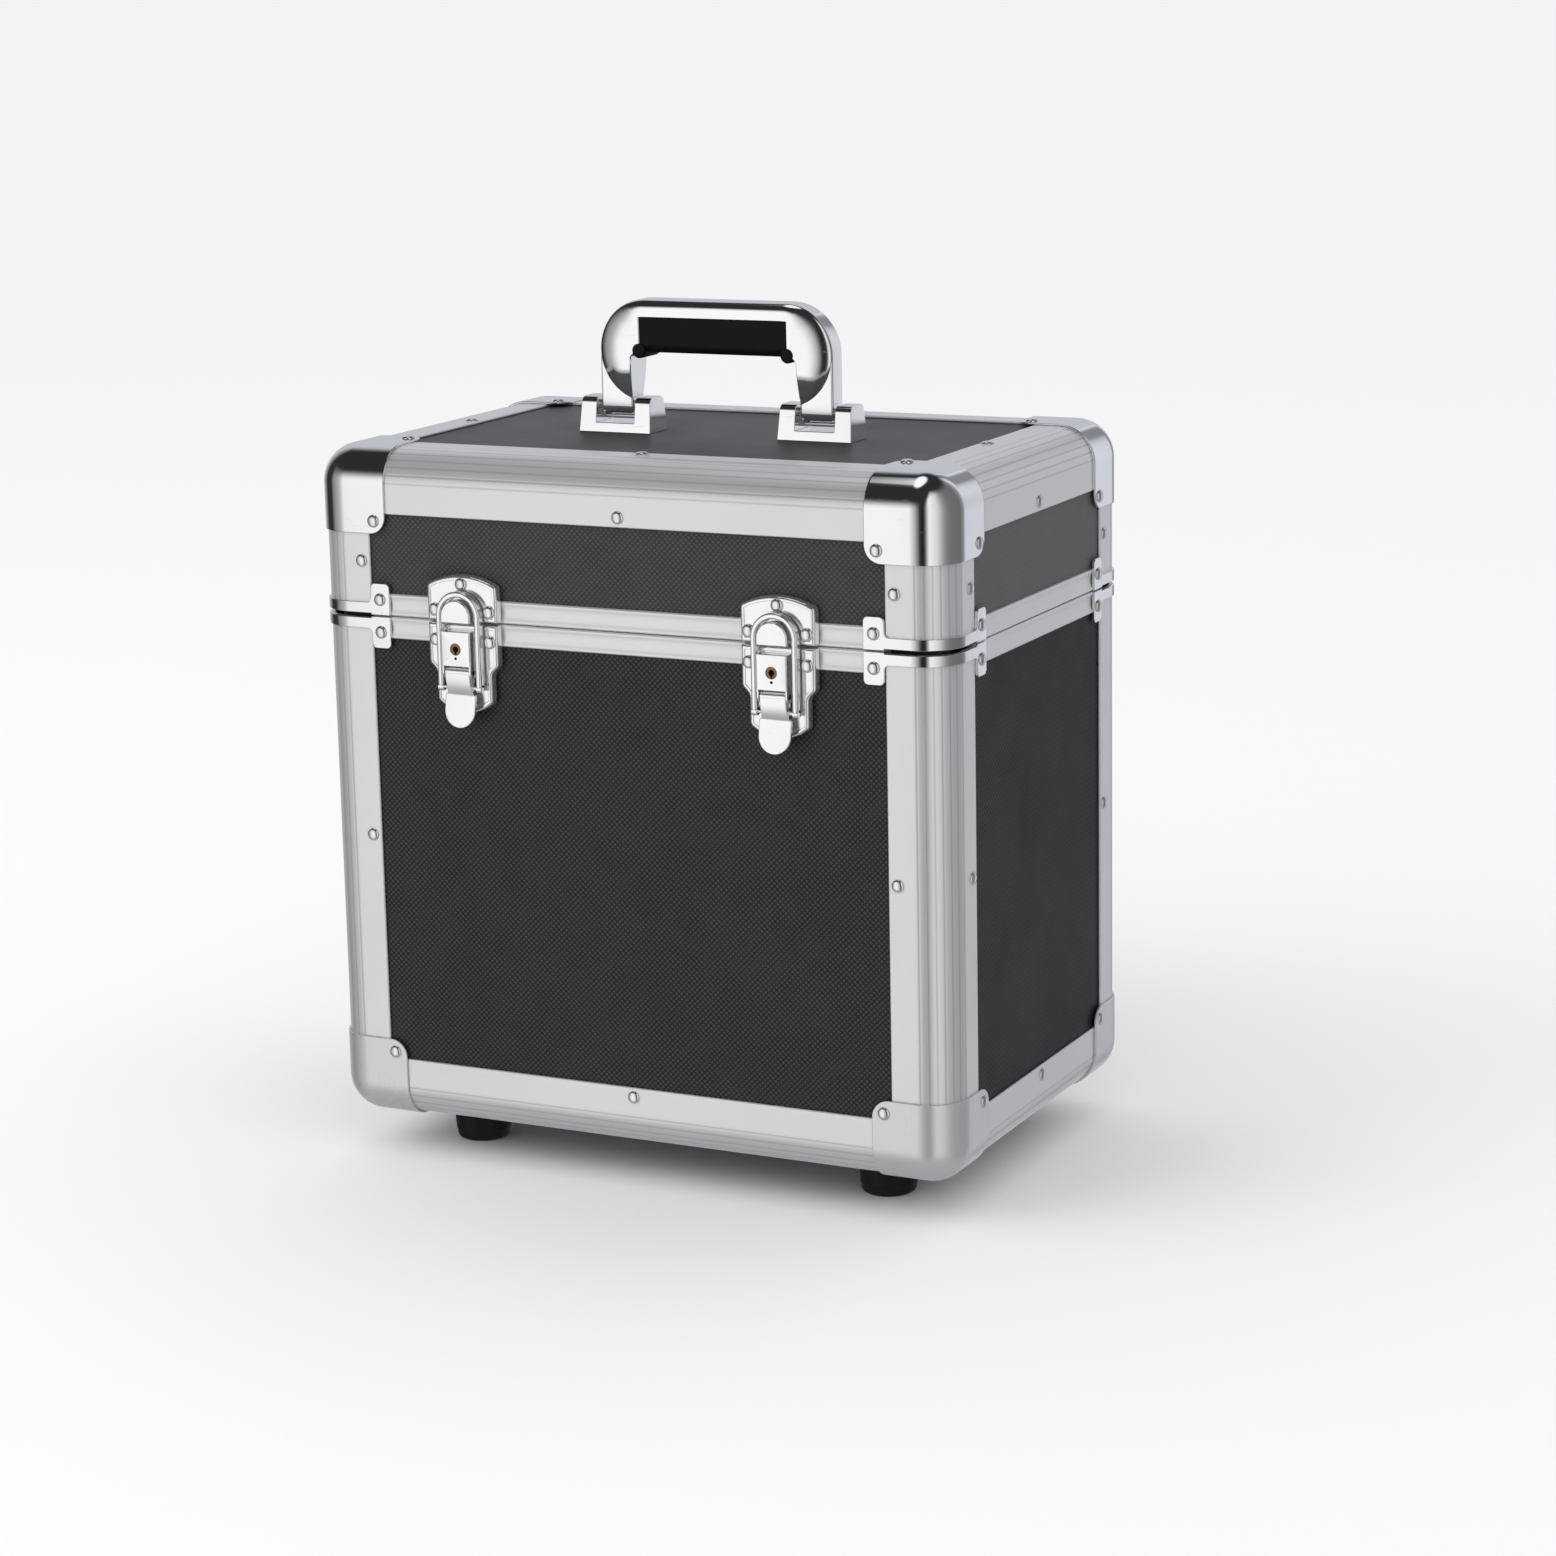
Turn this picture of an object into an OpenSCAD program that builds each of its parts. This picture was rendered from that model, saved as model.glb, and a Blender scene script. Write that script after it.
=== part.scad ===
// Carrying case for 12 inch records: panels held in aluminium edge profiles, capped corners,
// a hinged lid with two draw latches, a fold-down handle and four rubber feet.
// Front is -Y, the origin lies under the middle of the case on the surface it stands on.

/* [Case] */
// Width over the corner caps
case_w = 350; // [320:5:420]
// Depth over the corner caps
case_d = 230; // [200:5:300]
// Height of body and closed lid, without the feet
case_h = 350; // [300:5:420]
// Height of the lid
lid_h = 85; // [70:1:120]

/* [Panels] */
// Thickness of the board panels with their textured skin
panel_t = 5; // [4:0.5:6]
// Thickness of the soft lining
lining_t = 3; // [2:0.5:5]
// How far the lining stays back from the split
lining_back = 1; // [0.6:0.1:2]

/* [Edge profiles] */
// Outside radius of the corners, measured over the caps
corner_r = 20; // [16:1:22]
// Thickness of the profile's outer skin
skin_t = 1.5; // [1:0.1:2]
// How far a flange reaches in from the outside of the case
flange_w = 33.5; // [32:0.5:40]
// Thickness of the inner legs that hold the panel edges
holder_t = 1.6; // [1.2:0.1:2]
// Gap between the profiles' ends under the corner caps
joint_gap = 0.5; // [0.3:0.1:0.8]
// Number of decorative grooves along the rounded part
groove_n = 5; // [3:1:7]
// Radius of each groove
groove_r = 0.5; // [0.3:0.1:0.7]

/* [Split rails] */
// Height of the rail on each side of the split
rail_h = 11.4; // [10.5:0.1:14]
// Thickness of the rails' walls
rail_t = 1.2; // [1:0.1:1.5]
// Gap between the lid and body rails
split_gap = 0.8; // [0.6:0.1:1.2]
// Height of the tongue on the body rail
tongue_h = 2.5; // [2:0.1:3]
// Thickness of the tongue
tongue_t = 2; // [1.5:0.1:2.4]
// Play of the tongue in its groove, on every side
tongue_play = 0.7; // [0.6:0.05:0.9]
// Extra thickness of the body rail under the tongue
tongue_root = 0.6; // [0.3:0.1:1]

/* [Corner caps and clamps] */
// Sheet thickness of the caps and clamps
cap_t = 1.2; // [1:0.1:1.5]
// How far a cap reaches along each edge
cap_w = 43.5; // [42:0.5:50]
// Radius of a cap's inner corner on each face
cap_round = 9; // [5:0.5:12]
// Width of a clamp's tab
clamp_tab_w = 11; // [10:0.5:14]
// Height of a clamp's tab
clamp_tab_h = 16.5; // [14:0.5:20]
// Height of the strap round the corner
clamp_strap_h = 5.5; // [4:0.5:8]
// Half of the dark gap between the upper and lower strap
strap_gap = 1.2; // [1:0.1:1.8]
// Corner radius of the tabs
clamp_round = 2.5; // [1.5:0.5:3.5]

/* [Rivets] */
// Radius of a rivet's domed head
head_r = 3.3; // [2.6:0.1:3.6]
// Height of the domed head
head_h = 1.4; // [1:0.1:1.6]
// Radius of the shank
rivet_r = 1.6; // [1.2:0.1:2]
// Distance of an edge rivet from its flange's edge
rivet_edge = 5; // [4.5:0.1:5.5]
// Distance of a cap rivet from the cap's edges
cap_rivet_edge = 6.5; // [5:0.5:8]
// Distance of a clamp rivet from the split
clamp_rivet_up = 8.3; // [7:0.1:10]
// Height of the lid posts' rivets above the split
lid_post_rivet_up = 27.5; // [24:0.5:32]
// Distance of the body posts' rivets below the split
body_post_rivet_down = 113.8; // [90:0.1:130]
// How far a rivet's tail spreads beyond its shank
tail_spread = 0.9; // [0.6:0.1:1.1]
// Thickness of the spread tail
tail_h = 0.4; // [0.3:0.1:0.5]

/* [Feet] */
// Height of the feet below the case
foot_h = 20; // [12:1:30]
// Radius of a foot where it meets the case
foot_r = 15.8; // [13:0.2:18]
// Radius of a foot at the ground
foot_low_r = 14; // [10:0.5:15]
// Distance of the feet's centres from the case's ends
foot_in_x = 58; // [52:1:70]
// Distance of the feet's centres from the front and back
foot_in_y = 51; // [50:1:70]
// Radius of the foot screws
foot_screw_r = 2; // [1.5:0.1:2.5]
// Thickness of the rubber under a foot screw's head
foot_floor = 6; // [4:0.5:9]
// Radius of a foot's rounded lower edge
foot_edge_r = 2.5; // [1.5:0.5:3]

/* [Latches] */
// Distance of each latch from the middle of the case
latch_x = 87; // [60:1:110]
// Width of the latch plates
plate_w = 40; // [38:1:44]
// How far the plates stand off the rails
plate_h = 4; // [3.5:0.5:5]
// Sheet thickness of the latch plates
plate_t = 1.2; // [1:0.1:1.4]
// Radius of the catch plate's arched top
catch_arch_r = 42.5; // [36:0.5:50]
// Height of the catch plate on the lid
catch_plate_up = 24; // [23:0.5:28]
// Length of the base plate on the body
base_plate_down = 46; // [44:0.5:52]
// Width of the base plate's narrower tail
tail_w = 32; // [30:0.5:36]
// Radius of the tail's end
tail_end_r = 24; // [20:0.5:30]
// Heights below the split where the base plate narrows, from and to
shoulder_down = [21, 25];
// Radius of the round boss that the loop hooks over
boss_r = 8.25; // [7.5:0.25:8.5]
// Depth of the boss and the lock housing in front of the plates
boss_h = 7; // [6:0.5:8]
// Play between the boss and the loop round it
loop_play = 1.05; // [0.9:0.05:1.5]
// Width of the loop's bar
loop_bar = 3.1; // [2.5:0.1:3.5]
// Depth of the loop's bar
loop_depth = 4; // [3:0.5:4]
// Height of the loop's top above the split
loop_up = 16.5; // [16:0.1:18]
// Distance of the lever's pin below the split
lever_down = 24; // [24:0.5:27]
// Distance of the lever's pin in front of the plates
lever_pin_out = 4.2; // [4.2:0.1:4.6]
// Distance of the loop's pin in front of the plates
loop_pin_out = 3; // [2.6:0.1:3.2]
// Distance from the lever's pin down to the loop's pin
loop_drop = 8; // [8:0.5:9]
// Length of the lever below its pin
lever_len = 28; // [26:1:34]
// Width of the lever's tongue
tongue_w = 14; // [12:0.5:14]
// Width of the pull tab at the lever's end
tab_w = 17.3; // [15:0.1:17.6]
// Sheet thickness of the lever
lever_t = 1.5; // [1.2:0.1:1.6]
// Radius of the lever's pin
lever_pin_r = 1.2; // [1:0.1:1.4]
// Metal of the lever's cheeks beside the loop's pin
cheek_t = 0.5; // [0.4:0.1:0.6]
// Radius of the pin that carries the loop
loop_pin_r = 1; // [0.8:0.1:1.1]
// Wall of the lever's barrel round its pin
barrel_t = 1.3; // [1.1:0.1:1.4]
// Extra radius of the ears beyond the barrel
ear_t = 0.5; // [0.3:0.1:0.6]
// Wall of the loop's eyes round their pins
eye_t = 1.2; // [1:0.1:1.3]
// Sheet thickness of the lock housing
house_t = 0.8; // [0.6:0.1:1]
// Distance of the lock housing's top below the split
house_top = 3.3; // [3:0.1:4]
// Height of the lock housing's lower end above the lever's pin
house_over_pin = 3.2; // [3:0.1:4]
// How far the lock housing stands out beyond the boss
house_proud = 0.5; // [0:0.1:0.8]
// Distance of a latch's side rivets from its middle
latch_rivet_x = 15.5; // [15:0.1:16.5]
// Height of the catch plate's side rivets above the split
catch_low_rivet_up = 6.1; // [5:0.1:7]
// Distance of the catch plate's top rivet from the plate's top
catch_top_rivet_in = 4.6; // [4:0.1:5]
// Distance of the base plate's side rivets below the split
base_top_rivet_down = 9; // [8:0.1:10]
// Distance of the base plate's low rivet from the plate's end
base_low_rivet_in = 6; // [5:0.1:8]
// Radius of the lock's key plug
plug_r = 3; // [2.5:0.1:3.5]
// Distance of the key plug below the split
plug_down = 12; // [11:0.5:13]

/* [Handle] */
// Outside width of the handle
handle_w = 131; // [120:1:150]
// Height of the handle above the top of the case
handle_up = 65.5; // [60:0.5:75]
// Width of the handle's legs
leg_w = 18; // [16:0.5:20]
// Depth of the handle's legs
leg_t = 12; // [10:0.5:13]
// Depth of the handle at the grip
grip_t = 18; // [16:0.5:20]
// Radius of the handle's rounded ends
bow_r = 26; // [24:0.5:28]
// Height of the metal over the grip
top_bar = 9; // [7:0.5:11]
// Height of the black grip
grip_h = 18; // [15:0.5:20]
// Radius of the grip's lower edges
grip_round = 5; // [3:0.5:7]
// How far the grip's faces lie behind the metal's
grip_sunk = 0.4; // [0.2:0.1:1]
// How far the bow's edges are bevelled
bow_bevel = 3; // [2:0.5:4]
// Height above the pivots where the bow reaches its full thickness
bow_full_up = 22; // [18:0.5:24]
// How much narrower the finger opening is above than below, on each side
opening_taper = 1; // [0.5:0.5:5]
// Size of the cut corners at the top of the finger opening
opening_corner = 5; // [3:0.5:8]
// Height of the metal beside the grip's lower edge
opening_lap = 3; // [2:0.5:5]
// Length of the black grip
grip_len = 83; // [76:1:86]
// Width of a bracket
bracket_w = 41; // [39:1:46]
// Depth of a bracket
bracket_d = 20; // [18:1:24]
// Height of a bracket
bracket_h = 18; // [17:0.5:22]
// Radius of a bracket's shoulders
bracket_round = 5; // [3:0.5:7]
// Height of the floor between a bracket's walls
bracket_floor = 5; // [4:0.5:8]
// Gap under the handle's feet
foot_play = 2.4; // [1.9:0.1:3]
// Width of the gap between a bracket's walls
bracket_gap = 22; // [21:0.5:24]
// Radius of the handle's pins
handle_pin_r = 2.5; // [2:0.1:3]

/* [Hinges] */
// Distance of each hinge from the middle of the case
hinge_x = 95; // [70:1:110]
// Width of a hinge
hinge_w = 44; // [36:1:56]
// Height of each leaf
leaf_h = 23; // [22:0.5:28]
// Sheet thickness of the leaves
leaf_t = 1.5; // [1.2:0.1:1.8]
// Outside radius of the knuckles
knuckle_r = 4; // [3.5:0.1:4.5]
// Gap between neighbouring knuckles
knuckle_gap = 0.3; // [0.2:0.1:0.5]
// Distance of the hinge rivets from a leaf's edges
hinge_rivet_edge = 6; // [5:0.5:7]
// Radius of the hinge pin
hinge_pin_r = 1.8; // [1.5:0.1:2.2]

/* [Hidden] */
$fn = 96;
// Running clearance of pins and small clearance between fitted pieces
run = 0.05;
ease = 0.2;
play = 0.1;
over = 1;
base_z = foot_h;
top_z = foot_h + case_h;
split_z = top_z - lid_h;
half_w = case_w / 2;
half_d = case_d / 2;
// Depths below the outside of the case, layer by layer
skin_in = cap_t;
panel_in = skin_in + skin_t;
inner_in = panel_in + panel_t;
rail_in = inner_in + play + rail_t;
lining_in = inner_in + play + holder_t + ease;
// The panels stop beside the rounded corner, the profiles stop short of the corner cube
panel_stop = corner_r + ease;
profile_stop = flange_w + joint_gap;
edge_rivet_in = flange_w - rivet_edge;
cap_rivet_in = cap_w - cap_rivet_edge;
clamp_rivet_in = flange_w + clamp_tab_w / 2;
tail_r = rivet_r + tail_spread;
holder_reach = edge_rivet_in - tail_r - ease;
holder_slot = inner_in + play;
// Webs of the split rails: the lid's is thick enough for the groove
lid_web = tongue_h + tongue_play + rail_t;
body_web = rail_t + tongue_root;
body_post_rivet_z = split_z - body_post_rivet_down;
lid_post_rivet_z = split_z + lid_post_rivet_up;
// Latch depths in front of the rails
boss_top = plate_h + boss_h;
lever_pin_f = plate_h + lever_pin_out;
loop_pin_f = plate_h + loop_pin_out;
loop_pin_down = lever_down + loop_drop;
loop_in_r = boss_r + loop_play;
loop_out_r = loop_in_r + loop_bar;
boss_up = loop_up - loop_bar - loop_play - boss_r;
house_w = 2 * boss_r - 2 * ease;
house_bottom = lever_down - house_over_pin;
barrel_r = lever_pin_r + barrel_t;
ear_r = barrel_r + ear_t;
eye_r = loop_pin_r + eye_t;
catch_rivet_up = [catch_low_rivet_up, catch_plate_up - catch_top_rivet_in];
base_rivet_down = [base_top_rivet_down, base_plate_down - base_low_rivet_in];
house_out = boss_top + house_proud;
latch_rivet_in = skin_in - plate_h;
// Handle heights
lid_face_z = top_z - panel_in;
pivot_z = lid_face_z + bracket_floor + foot_play + leg_t / 2;
handle_top_z = top_z + handle_up;
leg_x = handle_w / 2 - leg_w / 2;
grip_low_z = handle_top_z - top_bar - grip_h;
bracket_screw_x = (bracket_w + bracket_gap) / 4;
bracket_screw_in = bracket_h / 3;
// Hinge axis behind the back, level with the split
hinge_y = half_d - skin_in + knuckle_r + ease;
knuckle_w = (hinge_w - 2 * knuckle_gap) / 4;
hinge_rivet_x = hinge_w / 2 - hinge_rivet_edge;
hinge_rivet_up = leaf_h - hinge_rivet_edge;

// ---------------------------------------------------------------- placing on the faces

// The child's +Z points out of the case, its origin lies depth d below the outside.
module on_front(s, z, d = 0) translate([s, -half_d + d, z]) rotate([90, 0, 0]) children();
module on_back(s, z, d = 0) translate([s, half_d - d, z]) rotate([-90, 0, 0]) children();
module on_left(s, z, d = 0) translate([-half_w + d, s, z]) rotate([0, -90, 0]) children();
module on_right(s, z, d = 0) translate([half_w - d, s, z]) rotate([0, 90, 0]) children();
module on_top(x, y, d = 0) translate([x, y, top_z - d]) children();
module on_bottom(x, y, d = 0) translate([x, y, base_z + d]) rotate([180, 0, 0]) children();

// The child is drawn at the front left corner and mirrored to the others.
module at_corner(sx, sy)
    mirror([sx > 0 ? 1 : 0, 0, 0]) mirror([0, sy > 0 ? 1 : 0, 0])
        translate([-half_w, -half_d, 0]) children();

// A drawing of depth and height, run along X from x0 to x1.
module run_along_x(x0, x1)
    translate([x0, 0, 0]) rotate([90, 0, 90]) linear_extrude(x1 - x0) children();

// ---------------------------------------------------------------- rivets

// Lists of [across, height, depth of the head's seat, depth of the tail's seat]
function lid_wall_rivets(half) = [
    [0, top_z - edge_rivet_in, skin_in, inner_in],
    for (s = [-1, 1]) [s * (half - edge_rivet_in), lid_post_rivet_z, skin_in, inner_in],
    for (s = [-1, 1]) [s * (half - cap_rivet_in), top_z - cap_rivet_in, 0, inner_in],
    for (s = [-1, 1]) [s * (half - clamp_rivet_in), split_z + clamp_rivet_up, 0, rail_in]
];
function body_wall_rivets(half) = [
    [0, base_z + edge_rivet_in, skin_in, inner_in],
    for (s = [-1, 1]) [s * (half - edge_rivet_in), body_post_rivet_z, skin_in, inner_in],
    for (s = [-1, 1]) [s * (half - cap_rivet_in), base_z + cap_rivet_in, 0, inner_in],
    for (s = [-1, 1]) [s * (half - clamp_rivet_in), split_z - clamp_rivet_up, 0, rail_in]
];
flat_rivets = [
    for (s = [-1, 1]) [0, s * (half_d - edge_rivet_in), skin_in, inner_in],
    for (s = [-1, 1]) [s * (half_w - edge_rivet_in), 0, skin_in, inner_in],
    for (sx = [-1, 1]) for (sy = [-1, 1])
        [sx * (half_w - cap_rivet_in), sy * (half_d - cap_rivet_in), 0, inner_in]
];
catch_rivets = [
    for (s = [-1, 1]) [s * latch_x, split_z + catch_rivet_up[1], latch_rivet_in, inner_in],
    for (s = [-1, 1]) for (r = [-1, 1])
        [s * latch_x + r * latch_rivet_x, split_z + catch_rivet_up[0], latch_rivet_in, rail_in]
];
base_rivets = [
    for (s = [-1, 1]) [s * latch_x, split_z - base_rivet_down[1], latch_rivet_in, inner_in],
    for (s = [-1, 1]) for (r = [-1, 1])
        [s * latch_x + r * latch_rivet_x, split_z - base_rivet_down[0], latch_rivet_in, rail_in]
];
function hinge_rivets(up) = [
    for (s = [-1, 1]) for (r = [-1, 1])
        [s * hinge_x + r * hinge_rivet_x, split_z + up * hinge_rivet_up, skin_in - leaf_t,
            inner_in]
];

// One rivet: a low dome, a shank and the spread tail behind the panel.
module rivet(seat, tail) {
    dome_r = (head_r * head_r + head_h * head_h) / (2 * head_h);
    rotate_extrude() union() {
        intersection() {
            translate([0, -seat + head_h - dome_r]) circle(dome_r);
            translate([0, -seat]) square([head_r + over, head_h + over]);
        }
        translate([0, -tail - tail_h]) square([rivet_r, tail - seat + tail_h + head_h / 2]);
        translate([0, -tail - tail_h]) square([tail_r, tail_h]);
    }
}

module rivet_hole(seat, tail)
    translate([0, 0, -tail - over]) cylinder(r = rivet_r + run, h = tail - seat + 2 * over);

module front_rivets(list) for (p = list) on_front(p[0], p[1]) rivet(p[2], p[3]);
module back_rivets(list) for (p = list) on_back(p[0], p[1]) rivet(p[2], p[3]);
module left_rivets(list) for (p = list) on_left(p[0], p[1]) rivet(p[2], p[3]);
module right_rivets(list) for (p = list) on_right(p[0], p[1]) rivet(p[2], p[3]);
module top_rivets(list) for (p = list) on_top(p[0], p[1]) rivet(p[2], p[3]);
module bottom_rivets(list) for (p = list) on_bottom(p[0], p[1]) rivet(p[2], p[3]);

module front_holes(list) for (p = list) on_front(p[0], p[1]) rivet_hole(p[2], p[3]);
module back_holes(list) for (p = list) on_back(p[0], p[1]) rivet_hole(p[2], p[3]);
module left_holes(list) for (p = list) on_left(p[0], p[1]) rivet_hole(p[2], p[3]);
module right_holes(list) for (p = list) on_right(p[0], p[1]) rivet_hole(p[2], p[3]);
module top_holes(list) for (p = list) on_top(p[0], p[1]) rivet_hole(p[2], p[3]);
module bottom_holes(list) for (p = list) on_bottom(p[0], p[1]) rivet_hole(p[2], p[3]);

module lid_rivets() color("silver") {
    front_rivets(concat(lid_wall_rivets(half_w), catch_rivets));
    back_rivets(concat(lid_wall_rivets(half_w), hinge_rivets(1)));
    left_rivets(lid_wall_rivets(half_d));
    right_rivets(lid_wall_rivets(half_d));
    top_rivets(flat_rivets);
}

module body_rivets() color("silver") {
    front_rivets(concat(body_wall_rivets(half_w), base_rivets));
    back_rivets(concat(body_wall_rivets(half_w), hinge_rivets(-1)));
    left_rivets(body_wall_rivets(half_d));
    right_rivets(body_wall_rivets(half_d));
    bottom_rivets(flat_rivets);
}

// ---------------------------------------------------------------- panels

// A box between two corners.
module block(low, high) translate(low) cube(high - low);

module flat_panel(low_z) block(
    [-half_w + panel_stop, -half_d + panel_stop, low_z],
    [half_w - panel_stop, half_d - panel_stop, low_z + panel_t]);

module wall_front(z0, z1) block(
    [-half_w + panel_stop, -half_d + panel_in, z0],
    [half_w - panel_stop, -half_d + inner_in, z1]);

module wall_left(z0, z1) block(
    [-half_w + panel_in, -half_d + panel_stop, z0],
    [-half_w + inner_in, half_d - panel_stop, z1]);

lid_wall_low = split_z + lid_web;
lid_wall_high = top_z - panel_stop;
body_wall_low = base_z + panel_stop;
body_wall_high = split_z - split_gap / 2 - body_web;

module lid_top_panel() color("dimgray") difference() {
    flat_panel(top_z - inner_in);
    top_holes(flat_rivets);
    for (s = [-1, 1]) bracket_screw_holes(s);
}

module lid_front_panel() color("dimgray") difference() {
    wall_front(lid_wall_low, lid_wall_high);
    front_holes(concat(lid_wall_rivets(half_w), catch_rivets));
}

module lid_back_panel() color("dimgray") difference() {
    mirror([0, 1, 0]) wall_front(lid_wall_low, lid_wall_high);
    back_holes(concat(lid_wall_rivets(half_w), hinge_rivets(1)));
}

module lid_left_panel() color("dimgray") difference() {
    wall_left(lid_wall_low, lid_wall_high);
    left_holes(lid_wall_rivets(half_d));
}

module lid_right_panel() color("dimgray") difference() {
    mirror([1, 0, 0]) wall_left(lid_wall_low, lid_wall_high);
    right_holes(lid_wall_rivets(half_d));
}

module body_bottom_panel() color("dimgray") difference() {
    flat_panel(base_z + panel_in);
    bottom_holes(flat_rivets);
    at_feet() translate([0, 0, base_z]) cylinder(r = foot_screw_r + run, h = inner_in + over);
}

module body_front_panel() color("dimgray") difference() {
    wall_front(body_wall_low, body_wall_high);
    front_holes(concat(body_wall_rivets(half_w), base_rivets));
}

module body_back_panel() color("dimgray") difference() {
    mirror([0, 1, 0]) wall_front(body_wall_low, body_wall_high);
    back_holes(concat(body_wall_rivets(half_w), hinge_rivets(-1)));
}

module body_left_panel() color("dimgray") difference() {
    wall_left(body_wall_low, body_wall_high);
    left_holes(body_wall_rivets(half_d));
}

module body_right_panel() color("dimgray") difference() {
    mirror([1, 0, 0]) wall_left(body_wall_low, body_wall_high);
    right_holes(body_wall_rivets(half_d));
}

// ---------------------------------------------------------------- aluminium edge profiles

// The quadrant inside the outline that lies depth d below the outside, rounded at the corner.
module quadrant(d, reach) difference() {
    translate([d, d]) square(reach - d);
    difference() {
        translate([d - over, d - over]) square(corner_r - d + over);
        translate([corner_r, corner_r]) circle(corner_r - d);
    }
}

// One J-shaped holder for a panel's edge: a stop beside the rounded skin and an inner leg.
module panel_holder() {
    stop_x = panel_stop - ease / 2 - holder_t;
    translate([stop_x, skin_in + skin_t / 2]) square([holder_t, holder_slot + holder_t - skin_in
        - skin_t / 2]);
    translate([stop_x, holder_slot]) square([holder_reach - stop_x, holder_t]);
}

// Cross-section of an edge profile, both outer planes on the axes.
module edge_section() difference() {
    union() {
        difference() {
            quadrant(skin_in, flange_w);
            quadrant(panel_in, flange_w + over);
        }
        panel_holder();
        mirror([1, -1]) panel_holder();
    }
    for (i = [1 : groove_n])
        translate([corner_r, corner_r]) rotate(180 + 90 * i / (groove_n + 1))
            translate([corner_r - skin_in + groove_r / 3, 0]) circle(groove_r, $fn = 24);
}

// An edge along X at the front and bottom, and one along Y at the left and bottom.
module front_edge_bar()
    translate([0, -half_d, 0])
        run_along_x(-half_w + profile_stop, half_w - profile_stop) edge_section();
module left_edge_bar()
    translate([-half_w, half_d - profile_stop, 0])
        rotate([90, 0, 0]) linear_extrude(case_d - 2 * profile_stop) edge_section();

module at_lid_top() translate([0, 0, top_z]) mirror([0, 0, 1]) children();
module at_base() translate([0, 0, base_z]) children();

module lid_front_edge() color("lightgray") difference() {
    at_lid_top() front_edge_bar();
    front_holes(lid_wall_rivets(half_w));
    top_holes(flat_rivets);
}

module lid_back_edge() color("lightgray") difference() {
    at_lid_top() mirror([0, 1, 0]) front_edge_bar();
    back_holes(lid_wall_rivets(half_w));
    top_holes(flat_rivets);
}

module lid_left_edge() color("lightgray") difference() {
    at_lid_top() left_edge_bar();
    left_holes(lid_wall_rivets(half_d));
    top_holes(flat_rivets);
}

module lid_right_edge() color("lightgray") difference() {
    at_lid_top() mirror([1, 0, 0]) left_edge_bar();
    right_holes(lid_wall_rivets(half_d));
    top_holes(flat_rivets);
}

module body_front_edge() color("lightgray") difference() {
    at_base() front_edge_bar();
    front_holes(body_wall_rivets(half_w));
    bottom_holes(flat_rivets);
}

module body_back_edge() color("lightgray") difference() {
    at_base() mirror([0, 1, 0]) front_edge_bar();
    back_holes(body_wall_rivets(half_w));
    bottom_holes(flat_rivets);
}

module body_left_edge() color("lightgray") difference() {
    at_base() left_edge_bar();
    left_holes(body_wall_rivets(half_d));
    bottom_holes(flat_rivets);
}

module body_right_edge() color("lightgray") difference() {
    at_base() mirror([1, 0, 0]) left_edge_bar();
    right_holes(body_wall_rivets(half_d));
    bottom_holes(flat_rivets);
}

// The four upright profiles between heights z0 and z1, with one rivet on each flange.
module corner_posts(z0, z1, rivet_z)
    for (sx = [-1, 1]) for (sy = [-1, 1]) at_corner(sx, sy) difference() {
        translate([0, 0, z0]) linear_extrude(z1 - z0) edge_section();
        translate([edge_rivet_in, 0, rivet_z]) rotate([90, 0, 0]) rivet_hole(skin_in, inner_in);
        translate([0, edge_rivet_in, rivet_z]) rotate([0, -90, 0]) rivet_hole(skin_in, inner_in);
    }

module lid_corner_posts() color("lightgray")
    corner_posts(split_z + strap_gap, top_z - profile_stop, lid_post_rivet_z);

module body_corner_posts() color("lightgray")
    corner_posts(base_z + profile_stop, split_z - strap_gap, body_post_rivet_z);

// ---------------------------------------------------------------- rails at the split

tongue_in = (skin_in + rail_in) / 2;

// Section of the lid's rail: depth across and height above the split, grooved below.
module lid_rail_section() difference() {
    translate([skin_in, split_gap / 2]) square([rail_in - skin_in, rail_h - split_gap / 2]);
    translate([panel_in, lid_web]) square([holder_slot - panel_in, rail_h]);
    translate([tongue_in - tongue_t / 2 - tongue_play, -over])
        square([tongue_t + 2 * tongue_play, tongue_h + tongue_play + over]);
}

// Section of the body's rail, with the tongue that rises into the lid.
module body_rail_section() {
    difference() {
        translate([skin_in, -rail_h]) square([rail_in - skin_in, rail_h - split_gap / 2]);
        translate([panel_in, -rail_h - body_web - split_gap / 2])
            square([holder_slot - panel_in, rail_h]);
    }
    translate([tongue_in - tongue_t / 2, -split_gap]) square([tongue_t, tongue_h + split_gap]);
}

// Four straight rails between the posts.
module rails_front_back()
    for (sy = [0, 1]) mirror([0, sy, 0]) translate([0, -half_d, split_z])
        run_along_x(-half_w + profile_stop, half_w - profile_stop) children();
module rails_left_right()
    for (sx = [0, 1]) mirror([sx, 0, 0]) translate([-half_w, half_d - profile_stop, split_z])
        rotate([90, 0, 0]) linear_extrude(case_d - 2 * profile_stop) children();

module lid_rim_rails() color("gainsboro") difference() {
    union() {
        rails_front_back() lid_rail_section();
        rails_left_right() lid_rail_section();
    }
    front_holes(concat(lid_wall_rivets(half_w), catch_rivets));
    back_holes(concat(lid_wall_rivets(half_w), hinge_rivets(1)));
    left_holes(lid_wall_rivets(half_d));
    right_holes(lid_wall_rivets(half_d));
}

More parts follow.
